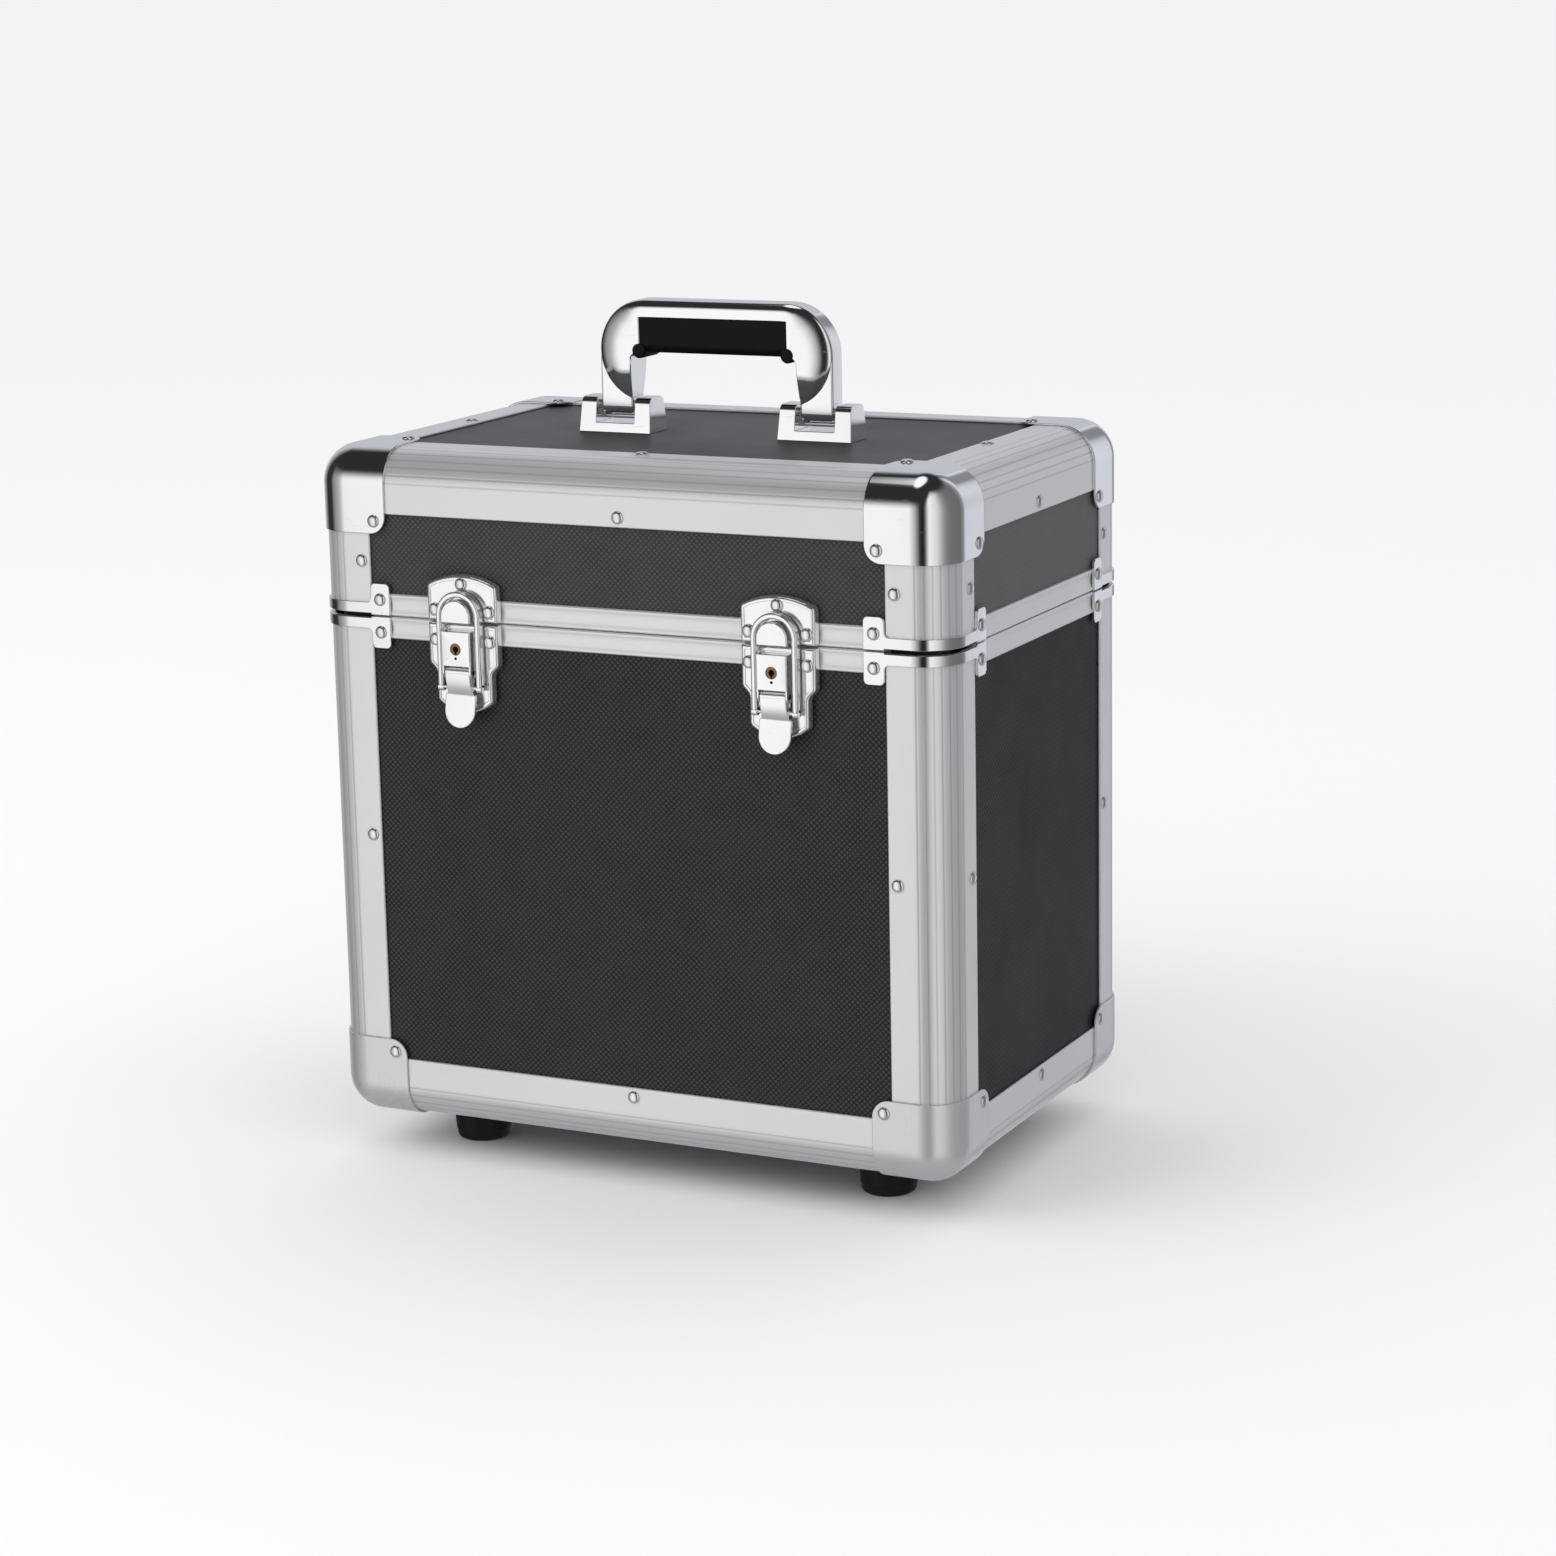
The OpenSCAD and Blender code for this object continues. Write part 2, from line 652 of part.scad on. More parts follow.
module body_rim_rails() color("gainsboro") difference() {
    union() {
        rails_front_back() body_rail_section();
        rails_left_right() body_rail_section();
    }
    front_holes(concat(body_wall_rivets(half_w), base_rivets));
    back_holes(concat(body_wall_rivets(half_w), hinge_rivets(-1)));
    left_holes(body_wall_rivets(half_d));
    right_holes(body_wall_rivets(half_d));
}

// ---------------------------------------------------------------- corner caps

// A strip of sheet round the corner, as a section: both legs reach to the given lengths.
module cap_section(leg_x, leg_y) intersection() {
    difference() {
        quadrant(0, cap_w);
        quadrant(cap_t, cap_w + over);
    }
    square([leg_x, leg_y]);
}

// The rounded inner corner of the cap on one face, as a cutter.
module tab_cutter() linear_extrude(corner_r / 2 + over, center = true)
    translate([cap_w - cap_round, cap_w - cap_round]) difference() {
        square(cap_round + over);
        circle(cap_round);
    }

// A ball corner with three flanges, drawn at the origin with its outer planes on the axes.
module corner_cap() difference() {
    union() {
        translate([corner_r, corner_r, 0]) rotate([0, 0, 180]) rotate_extrude(angle = 90)
            translate([corner_r, 0]) mirror([1, 0]) cap_section(corner_r, cap_w);
        translate([corner_r, 0, 0]) rotate([90, 0, 90]) linear_extrude(cap_w - corner_r)
            cap_section(cap_w, cap_w);
        translate([0, cap_w, 0]) rotate([90, 0, 0]) linear_extrude(cap_w - corner_r)
            cap_section(corner_r, cap_w);
    }
    tab_cutter();
    rotate([90, 0, 0]) tab_cutter();
    rotate([0, -90, 0]) tab_cutter();
    translate([cap_rivet_in, cap_rivet_in, 0]) rotate([180, 0, 0]) rivet_hole(0, cap_t);
    translate([cap_rivet_in, 0, cap_rivet_in]) rotate([90, 0, 0]) rivet_hole(0, cap_t);
    translate([0, cap_rivet_in, cap_rivet_in]) rotate([0, -90, 0]) rivet_hole(0, cap_t);
}

module lid_cap(sx, sy) color("white") at_lid_top() at_corner(sx, sy) corner_cap();
module body_cap(sx, sy) color("silver") at_base() at_corner(sx, sy) corner_cap();

module lid_cap_front_left() lid_cap(-1, -1);
module lid_cap_front_right() lid_cap(1, -1);
module lid_cap_back_left() lid_cap(-1, 1);
module lid_cap_back_right() lid_cap(1, 1);
module body_cap_front_left() body_cap(-1, -1);
module body_cap_front_right() body_cap(1, -1);
module body_cap_back_left() body_cap(-1, 1);
module body_cap_back_right() body_cap(1, 1);

// ---------------------------------------------------------------- clamps beside the split

// One flat half of a clamp: strap and tab, height measured from the split.
module clamp_outline() {
    tab_end = flange_w + clamp_tab_w;
    strap_top = strap_gap + clamp_strap_h;
    difference() {
        union() {
            translate([corner_r, strap_gap]) square([flange_w - corner_r + over, clamp_strap_h]);
            translate([flange_w, split_gap / 2])
                square([clamp_tab_w, clamp_tab_h - split_gap / 2]);
            translate([flange_w - clamp_round, strap_top - over])
                square([clamp_round + over, clamp_round + over]);
        }
        translate([flange_w - clamp_round, strap_top + clamp_round]) circle(clamp_round);
        translate([tab_end - clamp_round, clamp_tab_h - clamp_round]) difference() {
            square(clamp_round + over);
            circle(clamp_round);
        }
        translate([flange_w + clamp_round, clamp_tab_h - clamp_round]) difference() {
            translate([-clamp_round - over, 0]) square(clamp_round + over);
            circle(clamp_round);
        }
    }
}

// A clamp round the corner at the origin, above the split.
module corner_clamp() difference() {
    union() {
        translate([0, cap_t, 0]) rotate([90, 0, 0]) linear_extrude(cap_t) clamp_outline();
        mirror([1, -1, 0])
            translate([0, cap_t, 0]) rotate([90, 0, 0]) linear_extrude(cap_t) clamp_outline();
        translate([corner_r, corner_r, strap_gap]) rotate([0, 0, 180])
            rotate_extrude(angle = 90)
                translate([corner_r - cap_t, 0]) square([cap_t, clamp_strap_h]);
    }
    translate([clamp_rivet_in, 0, clamp_rivet_up]) rotate([90, 0, 0]) rivet_hole(0, cap_t);
    translate([0, clamp_rivet_in, clamp_rivet_up]) rotate([0, -90, 0]) rivet_hole(0, cap_t);
}

module lid_corner_clamps() color("white")
    for (sx = [-1, 1]) for (sy = [-1, 1])
        translate([0, 0, split_z]) at_corner(sx, sy) corner_clamp();

module body_corner_clamps() color("white")
    for (sx = [-1, 1]) for (sy = [-1, 1])
        translate([0, 0, split_z]) mirror([0, 0, 1]) at_corner(sx, sy) corner_clamp();

// ---------------------------------------------------------------- linings

// A thin-walled box from height z0 to z1, to be opened on one side.
module lining_box(z0, z1, inset) block(
    [-half_w + lining_in + inset, -half_d + lining_in + inset, z0],
    [half_w - lining_in - inset, half_d - lining_in - inset, z1]);

module lid_lining() color("black") difference() {
    lining_box(split_z + lining_back, top_z - lining_in, 0);
    lining_box(split_z, top_z - lining_in - lining_t, lining_t);
}

module body_lining() color("black") difference() {
    lining_box(base_z + lining_in, split_z - lining_back, 0);
    lining_box(base_z + lining_in + lining_t, split_z, lining_t);
}

// ---------------------------------------------------------------- feet

module at_feet()
    for (sx = [-1, 1]) for (sy = [-1, 1])
        translate([sx * (half_w - foot_in_x), sy * (half_d - foot_in_y), 0]) children();

screw_head_r = 2 * foot_screw_r;
screw_head_h = 2.4;
nut_r = screw_head_r + 1;
nut_h = 1.4;

// A tapered rubber foot with a rounded lower edge and a well for its screw.
module rubber_feet() color("black") at_feet() rotate_extrude() difference() {
    union() {
        polygon([[0, foot_edge_r], [foot_low_r, foot_edge_r], [foot_r, base_z + panel_in],
            [0, base_z + panel_in]]);
        square([foot_low_r - foot_edge_r, foot_edge_r + over]);
        translate([foot_low_r - foot_edge_r, foot_edge_r]) circle(foot_edge_r);
    }
    translate([-over, -over]) square([screw_head_r + over + over, foot_floor + over]);
    translate([-over, -over]) square([foot_screw_r + run + over, base_z + inner_in]);
}

// Pan head screws through the feet, each with a flanged nut inside the case.
module foot_screws() color("silver") at_feet() rotate_extrude() {
    translate([0, foot_floor - screw_head_h]) square([screw_head_r, screw_head_h]);
    translate([0, foot_floor - over])
        square([foot_screw_r, base_z + inner_in - foot_floor + over + nut_h / 2]);
    translate([0, base_z + inner_in]) square([nut_r, nut_h]);
}

// ---------------------------------------------------------------- latches

// Local frame of a latch: X across, Z up from the split, -Y out of the case from the rails.
module at_latch(s) translate([s * latch_x, -half_d + skin_in, split_z]) children();

// A drawing in the latch's front plane, from f0 to f1 in front of the rails.
module latch_slab(f0, f1) translate([0, -f0, 0]) rotate([90, 0, 0]) linear_extrude(f1 - f0)
    children();

// A drawing of distance in front and height, run from x0 to x1.
module latch_profile(x0, x1) mirror([0, 1, 0]) run_along_x(x0, x1) children();

// Outline of the catch plate: straight sides and an arched top.
module catch_outline(inset) intersection() {
    translate([-plate_w / 2 + inset, split_gap / 2 + (inset > 0 ? -over : 0)])
        square([plate_w - 2 * inset, catch_plate_up + over]);
    translate([0, catch_plate_up - catch_arch_r]) circle(catch_arch_r - inset);
}

// Outline of the base plate: shoulders, then a narrower tail with a round end.
module base_outline(inset) {
    w1 = plate_w / 2 - inset;
    w2 = tail_w / 2 - inset;
    low = -base_plate_down + inset;
    intersection() {
        polygon([
            [-w1, -split_gap / 2 + (inset > 0 ? over : 0)],
            [w1, -split_gap / 2 + (inset > 0 ? over : 0)],
            [w1, -shoulder_down[0]], [w2, -shoulder_down[1]], [w2, low], [-w2, low],
            [-w2, -shoulder_down[1]], [-w1, -shoulder_down[0]]
        ]);
        union() {
            translate([-plate_w, -shoulder_down[1]]) square([2 * plate_w, 2 * plate_w]);
            translate([0, low + tail_end_r]) circle(tail_end_r);
            translate([-plate_w / 2, low + tail_end_r / 2]) square([plate_w, plate_w / 2]);
        }
    }
}

module latch_holes(list) for (p = list) on_front(p[0], p[1]) rivet_hole(p[2], p[3]);

// Pressed plate on the lid with the D-shaped boss that the loop hooks over.
module catch_plate(s) color("white") difference() {
    at_latch(s) {
        difference() {
            latch_slab(0, plate_h) catch_outline(0);
            latch_slab(-over, plate_h - plate_t) catch_outline(plate_t);
        }
        latch_slab(plate_h - plate_t / 2, boss_top) intersection() {
            union() {
                translate([0, boss_up]) circle(boss_r);
                translate([-boss_r, 0]) square([2 * boss_r, boss_up]);
            }
            translate([-plate_w / 2, split_gap]) square([plate_w, loop_up]);
        }
    }
    latch_holes(catch_rivets);
}

// Pressed plate on the body with the lock housing and the two ears for the lever's pin.
module latch_base(s) color("white") difference() {
    at_latch(s) {
        difference() {
            union() {
                latch_slab(0, plate_h) base_outline(0);
                latch_profile(-house_w / 2, house_w / 2) {
                    translate([plate_h - plate_t / 2, -house_bottom])
                        square([house_out - plate_h + plate_t / 2, house_bottom - house_top]);
                    translate([lever_pin_f, -lever_down]) circle(ear_r);
                    translate([lever_pin_f - ear_r, -lever_down])
                        square([2 * ear_r, lever_down - house_bottom + over]);
                }
            }
            latch_slab(-over, plate_h - plate_t) base_outline(plate_t);
            latch_profile(-house_w / 2 + house_t, house_w / 2 - house_t)
                translate([plate_h, -lever_down - ear_r - over]) {
                    square([house_out - plate_h - house_t,
                        lever_down + ear_r + over - house_top - house_t]);
                    square([house_out - plate_h + over,
                        lever_down + ear_r + over - house_bottom]);
                }
            translate([0, 0, -plug_down]) rotate([90, 0, 0])
                translate([0, 0, plate_h + over]) cylinder(r = plug_r + run, h = boss_h + over);
            translate([-house_w, -lever_pin_f, -lever_down]) rotate([0, 90, 0])
                cylinder(r = lever_pin_r + run, h = 2 * house_w);
        }
    }
    latch_holes(base_rivets);
}

// Pins of the two levers, headless and flush with the ears.
module latch_pins() color("silver") for (s = [-1, 1])
    at_latch(s) translate([-house_w / 2, -lever_pin_f, -lever_down]) rotate([0, 90, 0])
        cylinder(r = lever_pin_r, h = house_w);

// Points of the lever's sheet: how far in from the barrel's face, and how far below the pin
lever_points = [[0, 0], [0.8, 6], [2.6, 11.5], [1.4, 19], [0.2, lever_len]];
lever_face = lever_pin_f + barrel_r;

// Side view of the sheet at depth d: a tongue that dips in, then flares out into the tab.
function lever_curve(d) = [for (p = lever_points) [lever_face - p[0] - d, -lever_down - p[1]]];

// Barrel, two cheeks with the studs that carry the loop, tongue and rounded pull tab.
module latch_lever(s) color("white") at_latch(s) {
    inner = house_w / 2 - house_t - ease;
    half_t = min(tongue_w / 2, inner);
    outline = concat(lever_curve(0),
        [for (i = [len(lever_points) - 1 : -1 : 0]) lever_curve(lever_t)[i]]);
    tab_z = -lever_down - lever_len + tab_w / 2;
    cheek_in = loop_pin_f - loop_pin_r - cheek_t;
    difference() {
        union() {
            latch_profile(-half_t, half_t)
                translate([lever_pin_f, -lever_down]) circle(barrel_r);
            for (x = [-half_t, half_t - lever_t]) latch_profile(x, x + lever_t) union() {
                translate([loop_pin_f, -loop_pin_down]) circle(loop_pin_r + 2 * cheek_t);
                translate([cheek_in, -loop_pin_down])
                    square([lever_face - lever_points[1][0] - lever_t / 2 - cheek_in, loop_drop]);
            }
            for (x = [-loop_out_r, half_t - over])
                translate([x, -loop_pin_f, -loop_pin_down]) rotate([0, 90, 0])
                    cylinder(r = loop_pin_r, h = loop_out_r - half_t + over);
            intersection() {
                latch_profile(-tab_w / 2, tab_w / 2) polygon(outline);
                latch_slab(0, 2 * boss_top) union() {
                    translate([-half_t, tab_z]) square([2 * half_t, lever_len]);
                    translate([-tab_w / 2, tab_z])
                        square([tab_w, -loop_pin_down - eye_r - lever_t - tab_z]);
                    translate([0, tab_z]) circle(tab_w / 2);
                }
            }
        }
        translate([-house_w, -lever_pin_f, -lever_down]) rotate([0, 90, 0])
            cylinder(r = lever_pin_r + run, h = 2 * house_w);
    }
}

// The bail: an arch with two legs that end in eyes on the lever's studs.
module latch_loop(s) color("white") at_latch(s) {
    arch_z = loop_up - loop_out_r;
    difference() {
        union() {
            latch_slab(loop_pin_f - loop_depth / 2, loop_pin_f + loop_depth / 2) {
                translate([0, arch_z]) circle(loop_out_r);
                translate([-loop_out_r, -loop_pin_down]) square([2 * loop_out_r, arch_z
                    + loop_pin_down]);
            }
            latch_profile(-loop_out_r, loop_out_r)
                translate([loop_pin_f, -loop_pin_down]) circle(eye_r);
        }
        latch_slab(0, 2 * boss_top) {
            translate([0, arch_z]) circle(loop_in_r);
            translate([-loop_in_r, -loop_pin_down - eye_r - over])
                square([2 * loop_in_r, arch_z + loop_pin_down + eye_r + over]);
        }
        translate([-house_w, -loop_pin_f, -loop_pin_down]) rotate([0, 90, 0])
            cylinder(r = loop_pin_r + run, h = 2 * house_w);
    }
}

// Cam behind the key plug and the keyhole in its face
cam_w = 3;
cam_t = 1.5;
cam_reach = plug_r + 1.8;
keyhole_r = 0.9;
key_slot = 0.8;
key_depth = 2.5;

// The brass key plug with its keyhole, and the cam it turns inside the housing.
module lock_plug(s) color("goldenrod") at_latch(s) translate([0, 0, -plug_down])
    rotate([90, 0, 0]) difference() {
        union() {
            translate([0, 0, plate_h + over]) cylinder(r = plug_r, h = house_out - plate_h - over);
            translate([-cam_w / 2, 0, plate_h + over]) cube([cam_w, cam_reach, cam_t]);
        }
        translate([0, keyhole_r, house_out - key_depth]) {
            cylinder(r = keyhole_r, h = key_depth + over);
            translate([-key_slot / 2, -plug_r, 0]) cube([key_slot, plug_r, key_depth + over]);
        }
    }

module catch_plate_left() catch_plate(-1);
module catch_plate_right() catch_plate(1);
module latch_base_left() latch_base(-1);
module latch_base_right() latch_base(1);
module latch_lever_left() latch_lever(-1);
module latch_lever_right() latch_lever(1);
module latch_loop_left() latch_loop(-1);
module latch_loop_right() latch_loop(1);
module lock_plug_left() lock_plug(-1);
module lock_plug_right() lock_plug(1);

// ---------------------------------------------------------------- handle

// A long shape with round ends, drawn across and up, its top at the handle's top.
module bow_outline(inset) hull() for (s = [-1, 1])
    translate([s * (handle_w / 2 - bow_r), handle_top_z - bow_r]) circle(bow_r - inset);

// A solid of the given depth in Y about the handle's middle plane.
module across_handle(depth)
    translate([0, depth / 2, 0]) rotate([90, 0, 0]) linear_extrude(depth) children();

// The finger opening, slightly narrower above.
module finger_opening() {
    low = handle_w / 2 - leg_w;
    high = low - opening_taper;
    z1 = grip_low_z + opening_lap;
    c = opening_corner;
    polygon([[-low, pivot_z - leg_t], [low, pivot_z - leg_t], [high, z1 - c], [high - c, z1],
        [-high + c, z1], [-high, z1 - c]]);
}

// Space for the grip below the top bar.
module grip_space() block(
    [-grip_len / 2, -grip_t, grip_low_z - over],
    [grip_len / 2, grip_t, handle_top_z - top_bar]);

// Bow of the handle: flat legs, a thicker round-ended bow and a bore at each foot.
module handle_frame() color("white") difference() {
    union() {
        across_handle(leg_t) difference() {
            union() {
                bow_outline(0);
                for (s = [-1, 1]) translate([s * leg_x - leg_w / 2, pivot_z])
                    square([leg_w, handle_top_z - bow_r - pivot_z]);
            }
            finger_opening();
        }
        for (s = [-1, 1]) translate([s * leg_x - leg_w / 2, 0, pivot_z]) rotate([0, 90, 0])
            cylinder(r = leg_t / 2, h = leg_w);
        difference() {
            hull() {
                across_handle(leg_t) bow_outline(0);
                across_handle(grip_t) intersection() {
                    bow_outline(bow_bevel);
                    translate([-handle_w, pivot_z + bow_full_up]) square(2 * handle_w);
                }
            }
            across_handle(2 * grip_t) finger_opening();
        }
    }
    for (s = [-1, 1]) translate([s * leg_x - leg_w, 0, pivot_z]) rotate([0, 90, 0])
        cylinder(r = handle_pin_r + run, h = 2 * leg_w);
    grip_space();
    block([-handle_w, -grip_t, top_z - lid_h], [handle_w, grip_t, pivot_z - leg_t / 2 - over / 2]);
}

// Black moulded grip let into the bow, rounded underneath.
module handle_grip() color("black") {
    half = grip_t / 2 - grip_sunk;
    flat = half - grip_round;
    run_along_x(-grip_len / 2, grip_len / 2) translate([0, grip_low_z]) {
        translate([-half, grip_round]) square([2 * half, grip_h - grip_round]);
        translate([-flat, 0]) square([2 * flat, grip_h]);
        for (y = [-flat, flat]) translate([y, grip_round]) circle(grip_round);
    }
}

module bracket_screw_holes(s) for (r = [-1, 1])
    translate([s * leg_x + r * bracket_screw_x, 0, lid_face_z - panel_t - over])
        cylinder(r = rivet_r + run, h = panel_t + bracket_screw_in + over);

// U-shaped bracket with rounded shoulders, screwed to the lid's panel from inside.
module handle_bracket(s) color("white") difference() {
    translate([s * leg_x, 0, lid_face_z]) difference() {
        run_along_x(-bracket_w / 2, bracket_w / 2) difference() {
            translate([-bracket_d / 2, 0]) square([bracket_d, bracket_h]);
            for (m = [0, 1]) mirror([m, 0])
                translate([bracket_d / 2 - bracket_round, bracket_h - bracket_round])
                    difference() {
                        square(bracket_round + over);
                        circle(bracket_round);
                    }
        }
        translate([-bracket_gap / 2, -bracket_d, bracket_floor])
            cube([bracket_gap, 2 * bracket_d, bracket_h]);
        translate([-bracket_w, 0, pivot_z - lid_face_z]) rotate([0, 90, 0])
            cylinder(r = handle_pin_r + run, h = 2 * bracket_w);
    }
    bracket_screw_holes(s);
}

module handle_bracket_left() handle_bracket(-1);
module handle_bracket_right() handle_bracket(1);

// Pins through the brackets' walls and the handle's feet.
module handle_pins() color("silver") for (s = [-1, 1])
    translate([s * leg_x - bracket_w / 2 + ease, 0, pivot_z]) rotate([0, 90, 0])
        cylinder(r = handle_pin_r, h = bracket_w - 2 * ease);

// Pan head screws from inside the lid into the brackets.
module bracket_screws() color("silver") for (s = [-1, 1]) for (r = [-1, 1])
    translate([s * leg_x + r * bracket_screw_x, 0, lid_face_z - panel_t]) rotate_extrude() {
        square([rivet_r, panel_t + bracket_screw_in - over]);
        translate([0, -head_h]) square([head_r, head_h]);
    }

// ---------------------------------------------------------------- hinges

// Local frame of a hinge: X across, +Y out of the back, Z up from the split.
module at_hinge(s) translate([s * hinge_x, half_d - skin_in, split_z]) children();

// Knuckle places along the pin, from the left end: outer pair on the body, middle on the lid.
body_knuckles = [
    [-hinge_w / 2, -hinge_w / 2 + knuckle_w],
    [hinge_w / 2 - knuckle_w, hinge_w / 2]
];
lid_knuckles = [[-hinge_w / 2 + knuckle_w + knuckle_gap, hinge_w / 2 - knuckle_w - knuckle_gap]];
axis_out = hinge_y - half_d + skin_in;

// A leaf that starts clear of the other leaf's knuckles and carries its own.
module hinge_leaf(knuckles) difference() {
    union() {
        translate([-hinge_w / 2, 0, knuckle_r + knuckle_gap])
            cube([hinge_w, leaf_t, leaf_h - knuckle_r - knuckle_gap]);
        for (k = knuckles) {
            translate([k[0], 0, 0]) cube([k[1] - k[0], leaf_t, leaf_h / 2]);
            translate([k[0], axis_out, 0]) rotate([0, 90, 0])
                cylinder(r = knuckle_r, h = k[1] - k[0]);
        }
    }
    translate([-hinge_w, axis_out, 0]) rotate([0, 90, 0])
        cylinder(r = hinge_pin_r + run, h = 2 * hinge_w);
    for (r = [-1, 1]) translate([r * hinge_rivet_x, -over, hinge_rivet_up]) rotate([-90, 0, 0])
        cylinder(r = rivet_r + run, h = leaf_t + 2 * over);
}

module hinge_lid_leaf_left() color("silver") at_hinge(-1) hinge_leaf(lid_knuckles);
module hinge_lid_leaf_right() color("silver") at_hinge(1) hinge_leaf(lid_knuckles);
module hinge_body_leaf_left() color("silver")
    at_hinge(-1) mirror([0, 0, 1]) hinge_leaf(body_knuckles);
module hinge_body_leaf_right() color("silver")
    at_hinge(1) mirror([0, 0, 1]) hinge_leaf(body_knuckles);

module hinge_pins() color("silver") for (s = [-1, 1])
    at_hinge(s) translate([-hinge_w / 2 - ease, axis_out, 0]) rotate([0, 90, 0])
        cylinder(r = hinge_pin_r, h = hinge_w + 2 * ease);

// ---------------------------------------------------------------- the assembly

lid_top_panel();
lid_front_panel();
lid_back_panel();
lid_left_panel();
lid_right_panel();
lid_front_edge();
lid_back_edge();
lid_left_edge();
lid_right_edge();
lid_corner_posts();
lid_rim_rails();
lid_cap_front_left();
lid_cap_front_right();
lid_cap_back_left();
lid_cap_back_right();
lid_corner_clamps();
lid_rivets();
lid_lining();
handle_bracket_left();
handle_bracket_right();
bracket_screws();
handle_pins();
catch_plate_left();
catch_plate_right();
hinge_lid_leaf_left();
hinge_lid_leaf_right();
body_bottom_panel();
body_front_panel();
body_back_panel();
body_left_panel();
body_right_panel();
body_front_edge();
body_back_edge();
body_left_edge();
body_right_edge();
body_corner_posts();
body_rim_rails();
body_cap_front_left();
body_cap_front_right();
body_cap_back_left();
body_cap_back_right();
body_corner_clamps();
body_rivets();
body_lining();
rubber_feet();
foot_screws();
latch_base_left();
latch_base_right();
latch_pins();
hinge_body_leaf_left();
hinge_body_leaf_right();
hinge_pins();
latch_lever_left();
latch_lever_right();
latch_loop_left();
latch_loop_right();
lock_plug_left();
lock_plug_right();
handle_frame();
handle_grip();
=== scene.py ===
import math

import bmesh
import bpy
import numpy as np
from mathutils import Matrix, Vector


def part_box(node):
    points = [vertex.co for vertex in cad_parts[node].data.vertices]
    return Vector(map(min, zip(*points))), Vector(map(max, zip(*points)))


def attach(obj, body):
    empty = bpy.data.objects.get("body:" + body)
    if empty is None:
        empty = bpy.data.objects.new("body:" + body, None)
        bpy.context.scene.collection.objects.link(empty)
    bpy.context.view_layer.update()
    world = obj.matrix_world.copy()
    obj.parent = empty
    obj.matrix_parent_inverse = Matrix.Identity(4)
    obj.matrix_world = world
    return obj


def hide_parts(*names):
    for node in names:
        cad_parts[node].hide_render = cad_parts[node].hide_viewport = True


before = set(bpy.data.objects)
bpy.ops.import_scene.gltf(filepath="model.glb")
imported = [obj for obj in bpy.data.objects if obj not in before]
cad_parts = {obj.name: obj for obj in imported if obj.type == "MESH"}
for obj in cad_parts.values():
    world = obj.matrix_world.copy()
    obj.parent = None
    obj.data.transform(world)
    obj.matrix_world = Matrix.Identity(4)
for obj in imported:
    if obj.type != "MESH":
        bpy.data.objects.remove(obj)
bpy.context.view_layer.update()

# ---------------------------------------------------------------- camera
# The camera stands where the photograph was taken: to the right of the front and a little above
# the lid, far enough away for a long lens.
azimuth, elevation, roll = (math.radians(a) for a in (26.18, 12.66, 1.15))
camera_place = (0.8877, -1.7488, 0.6284)
focal_px, frame_px, sensor_mm = 3877, 1556, 36

back = Vector((math.sin(azimuth) * math.cos(elevation),
               -math.cos(azimuth) * math.cos(elevation), math.sin(elevation)))
right = Vector((math.cos(azimuth), math.sin(azimuth), 0))
up = back.cross(right)
camera_x = right * math.cos(roll) - up * math.sin(roll)
camera_y = right * math.sin(roll) + up * math.cos(roll)
camera = bpy.data.objects.new("camera", bpy.data.cameras.new("camera"))
camera.matrix_world = (Matrix.Translation(camera_place)
                       @ Matrix((camera_x, camera_y, back)).transposed().to_4x4())
camera.data.sensor_width = sensor_mm
camera.data.lens = focal_px * sensor_mm / frame_px
camera.data.clip_end = 100
scene = bpy.context.scene
scene.collection.objects.link(camera)
scene.camera = camera
scene.view_settings.view_transform = "Standard"

# ---------------------------------------------------------------- studio
# A pale floor and a white surround with one large soft lamp. As in a product studio, cards stand
# round the case and give the chrome its bands. Only glossy surfaces see them.
backdrop_white = 0.945
surround_light = 0.93
floor_size = 60


def node_in(tree, kind, **values):
    """A new node with its properties and its input sockets set by name."""
    node = tree.nodes.new(kind)
    for key, value in values.items():
        if key in node.inputs:
            node.inputs[key].default_value = value
        else:
            setattr(node, key, value)
    return node


def grid_mesh(name, points, faces):
    """A mesh object from an array of points in metres and lists of corners."""
    mesh = bpy.data.meshes.new(name)
    mesh.from_pydata(points.tolist(), [], faces)
    mesh.update()
    piece = bpy.data.objects.new(name, mesh)
    scene.collection.objects.link(piece)
    return piece


world = bpy.data.worlds.new("surround")
scene.world = world
world.use_nodes = True
tree = world.node_tree
tree.nodes.clear()
path = node_in(tree, "ShaderNodeLightPath")
seen = node_in(tree, "ShaderNodeMath", operation="MAXIMUM")
mirrored = node_in(tree, "ShaderNodeMath", operation="MAXIMUM")
level = node_in(tree, "ShaderNodeMapRange")
level.inputs["To Min"].default_value = surround_light
level.inputs["To Max"].default_value = backdrop_white
glow = node_in(tree, "ShaderNodeBackground", Color=(1, 1, 1, 1))
world_out = node_in(tree, "ShaderNodeOutputWorld")
tree.links.new(path.outputs["Is Camera Ray"], seen.inputs[0])
tree.links.new(path.outputs["Is Glossy Ray"], seen.inputs[1])
tree.links.new(seen.outputs[0], mirrored.inputs[0])
tree.links.new(path.outputs["Is Transmission Ray"], mirrored.inputs[1])
tree.links.new(mirrored.outputs[0], level.inputs["Value"])
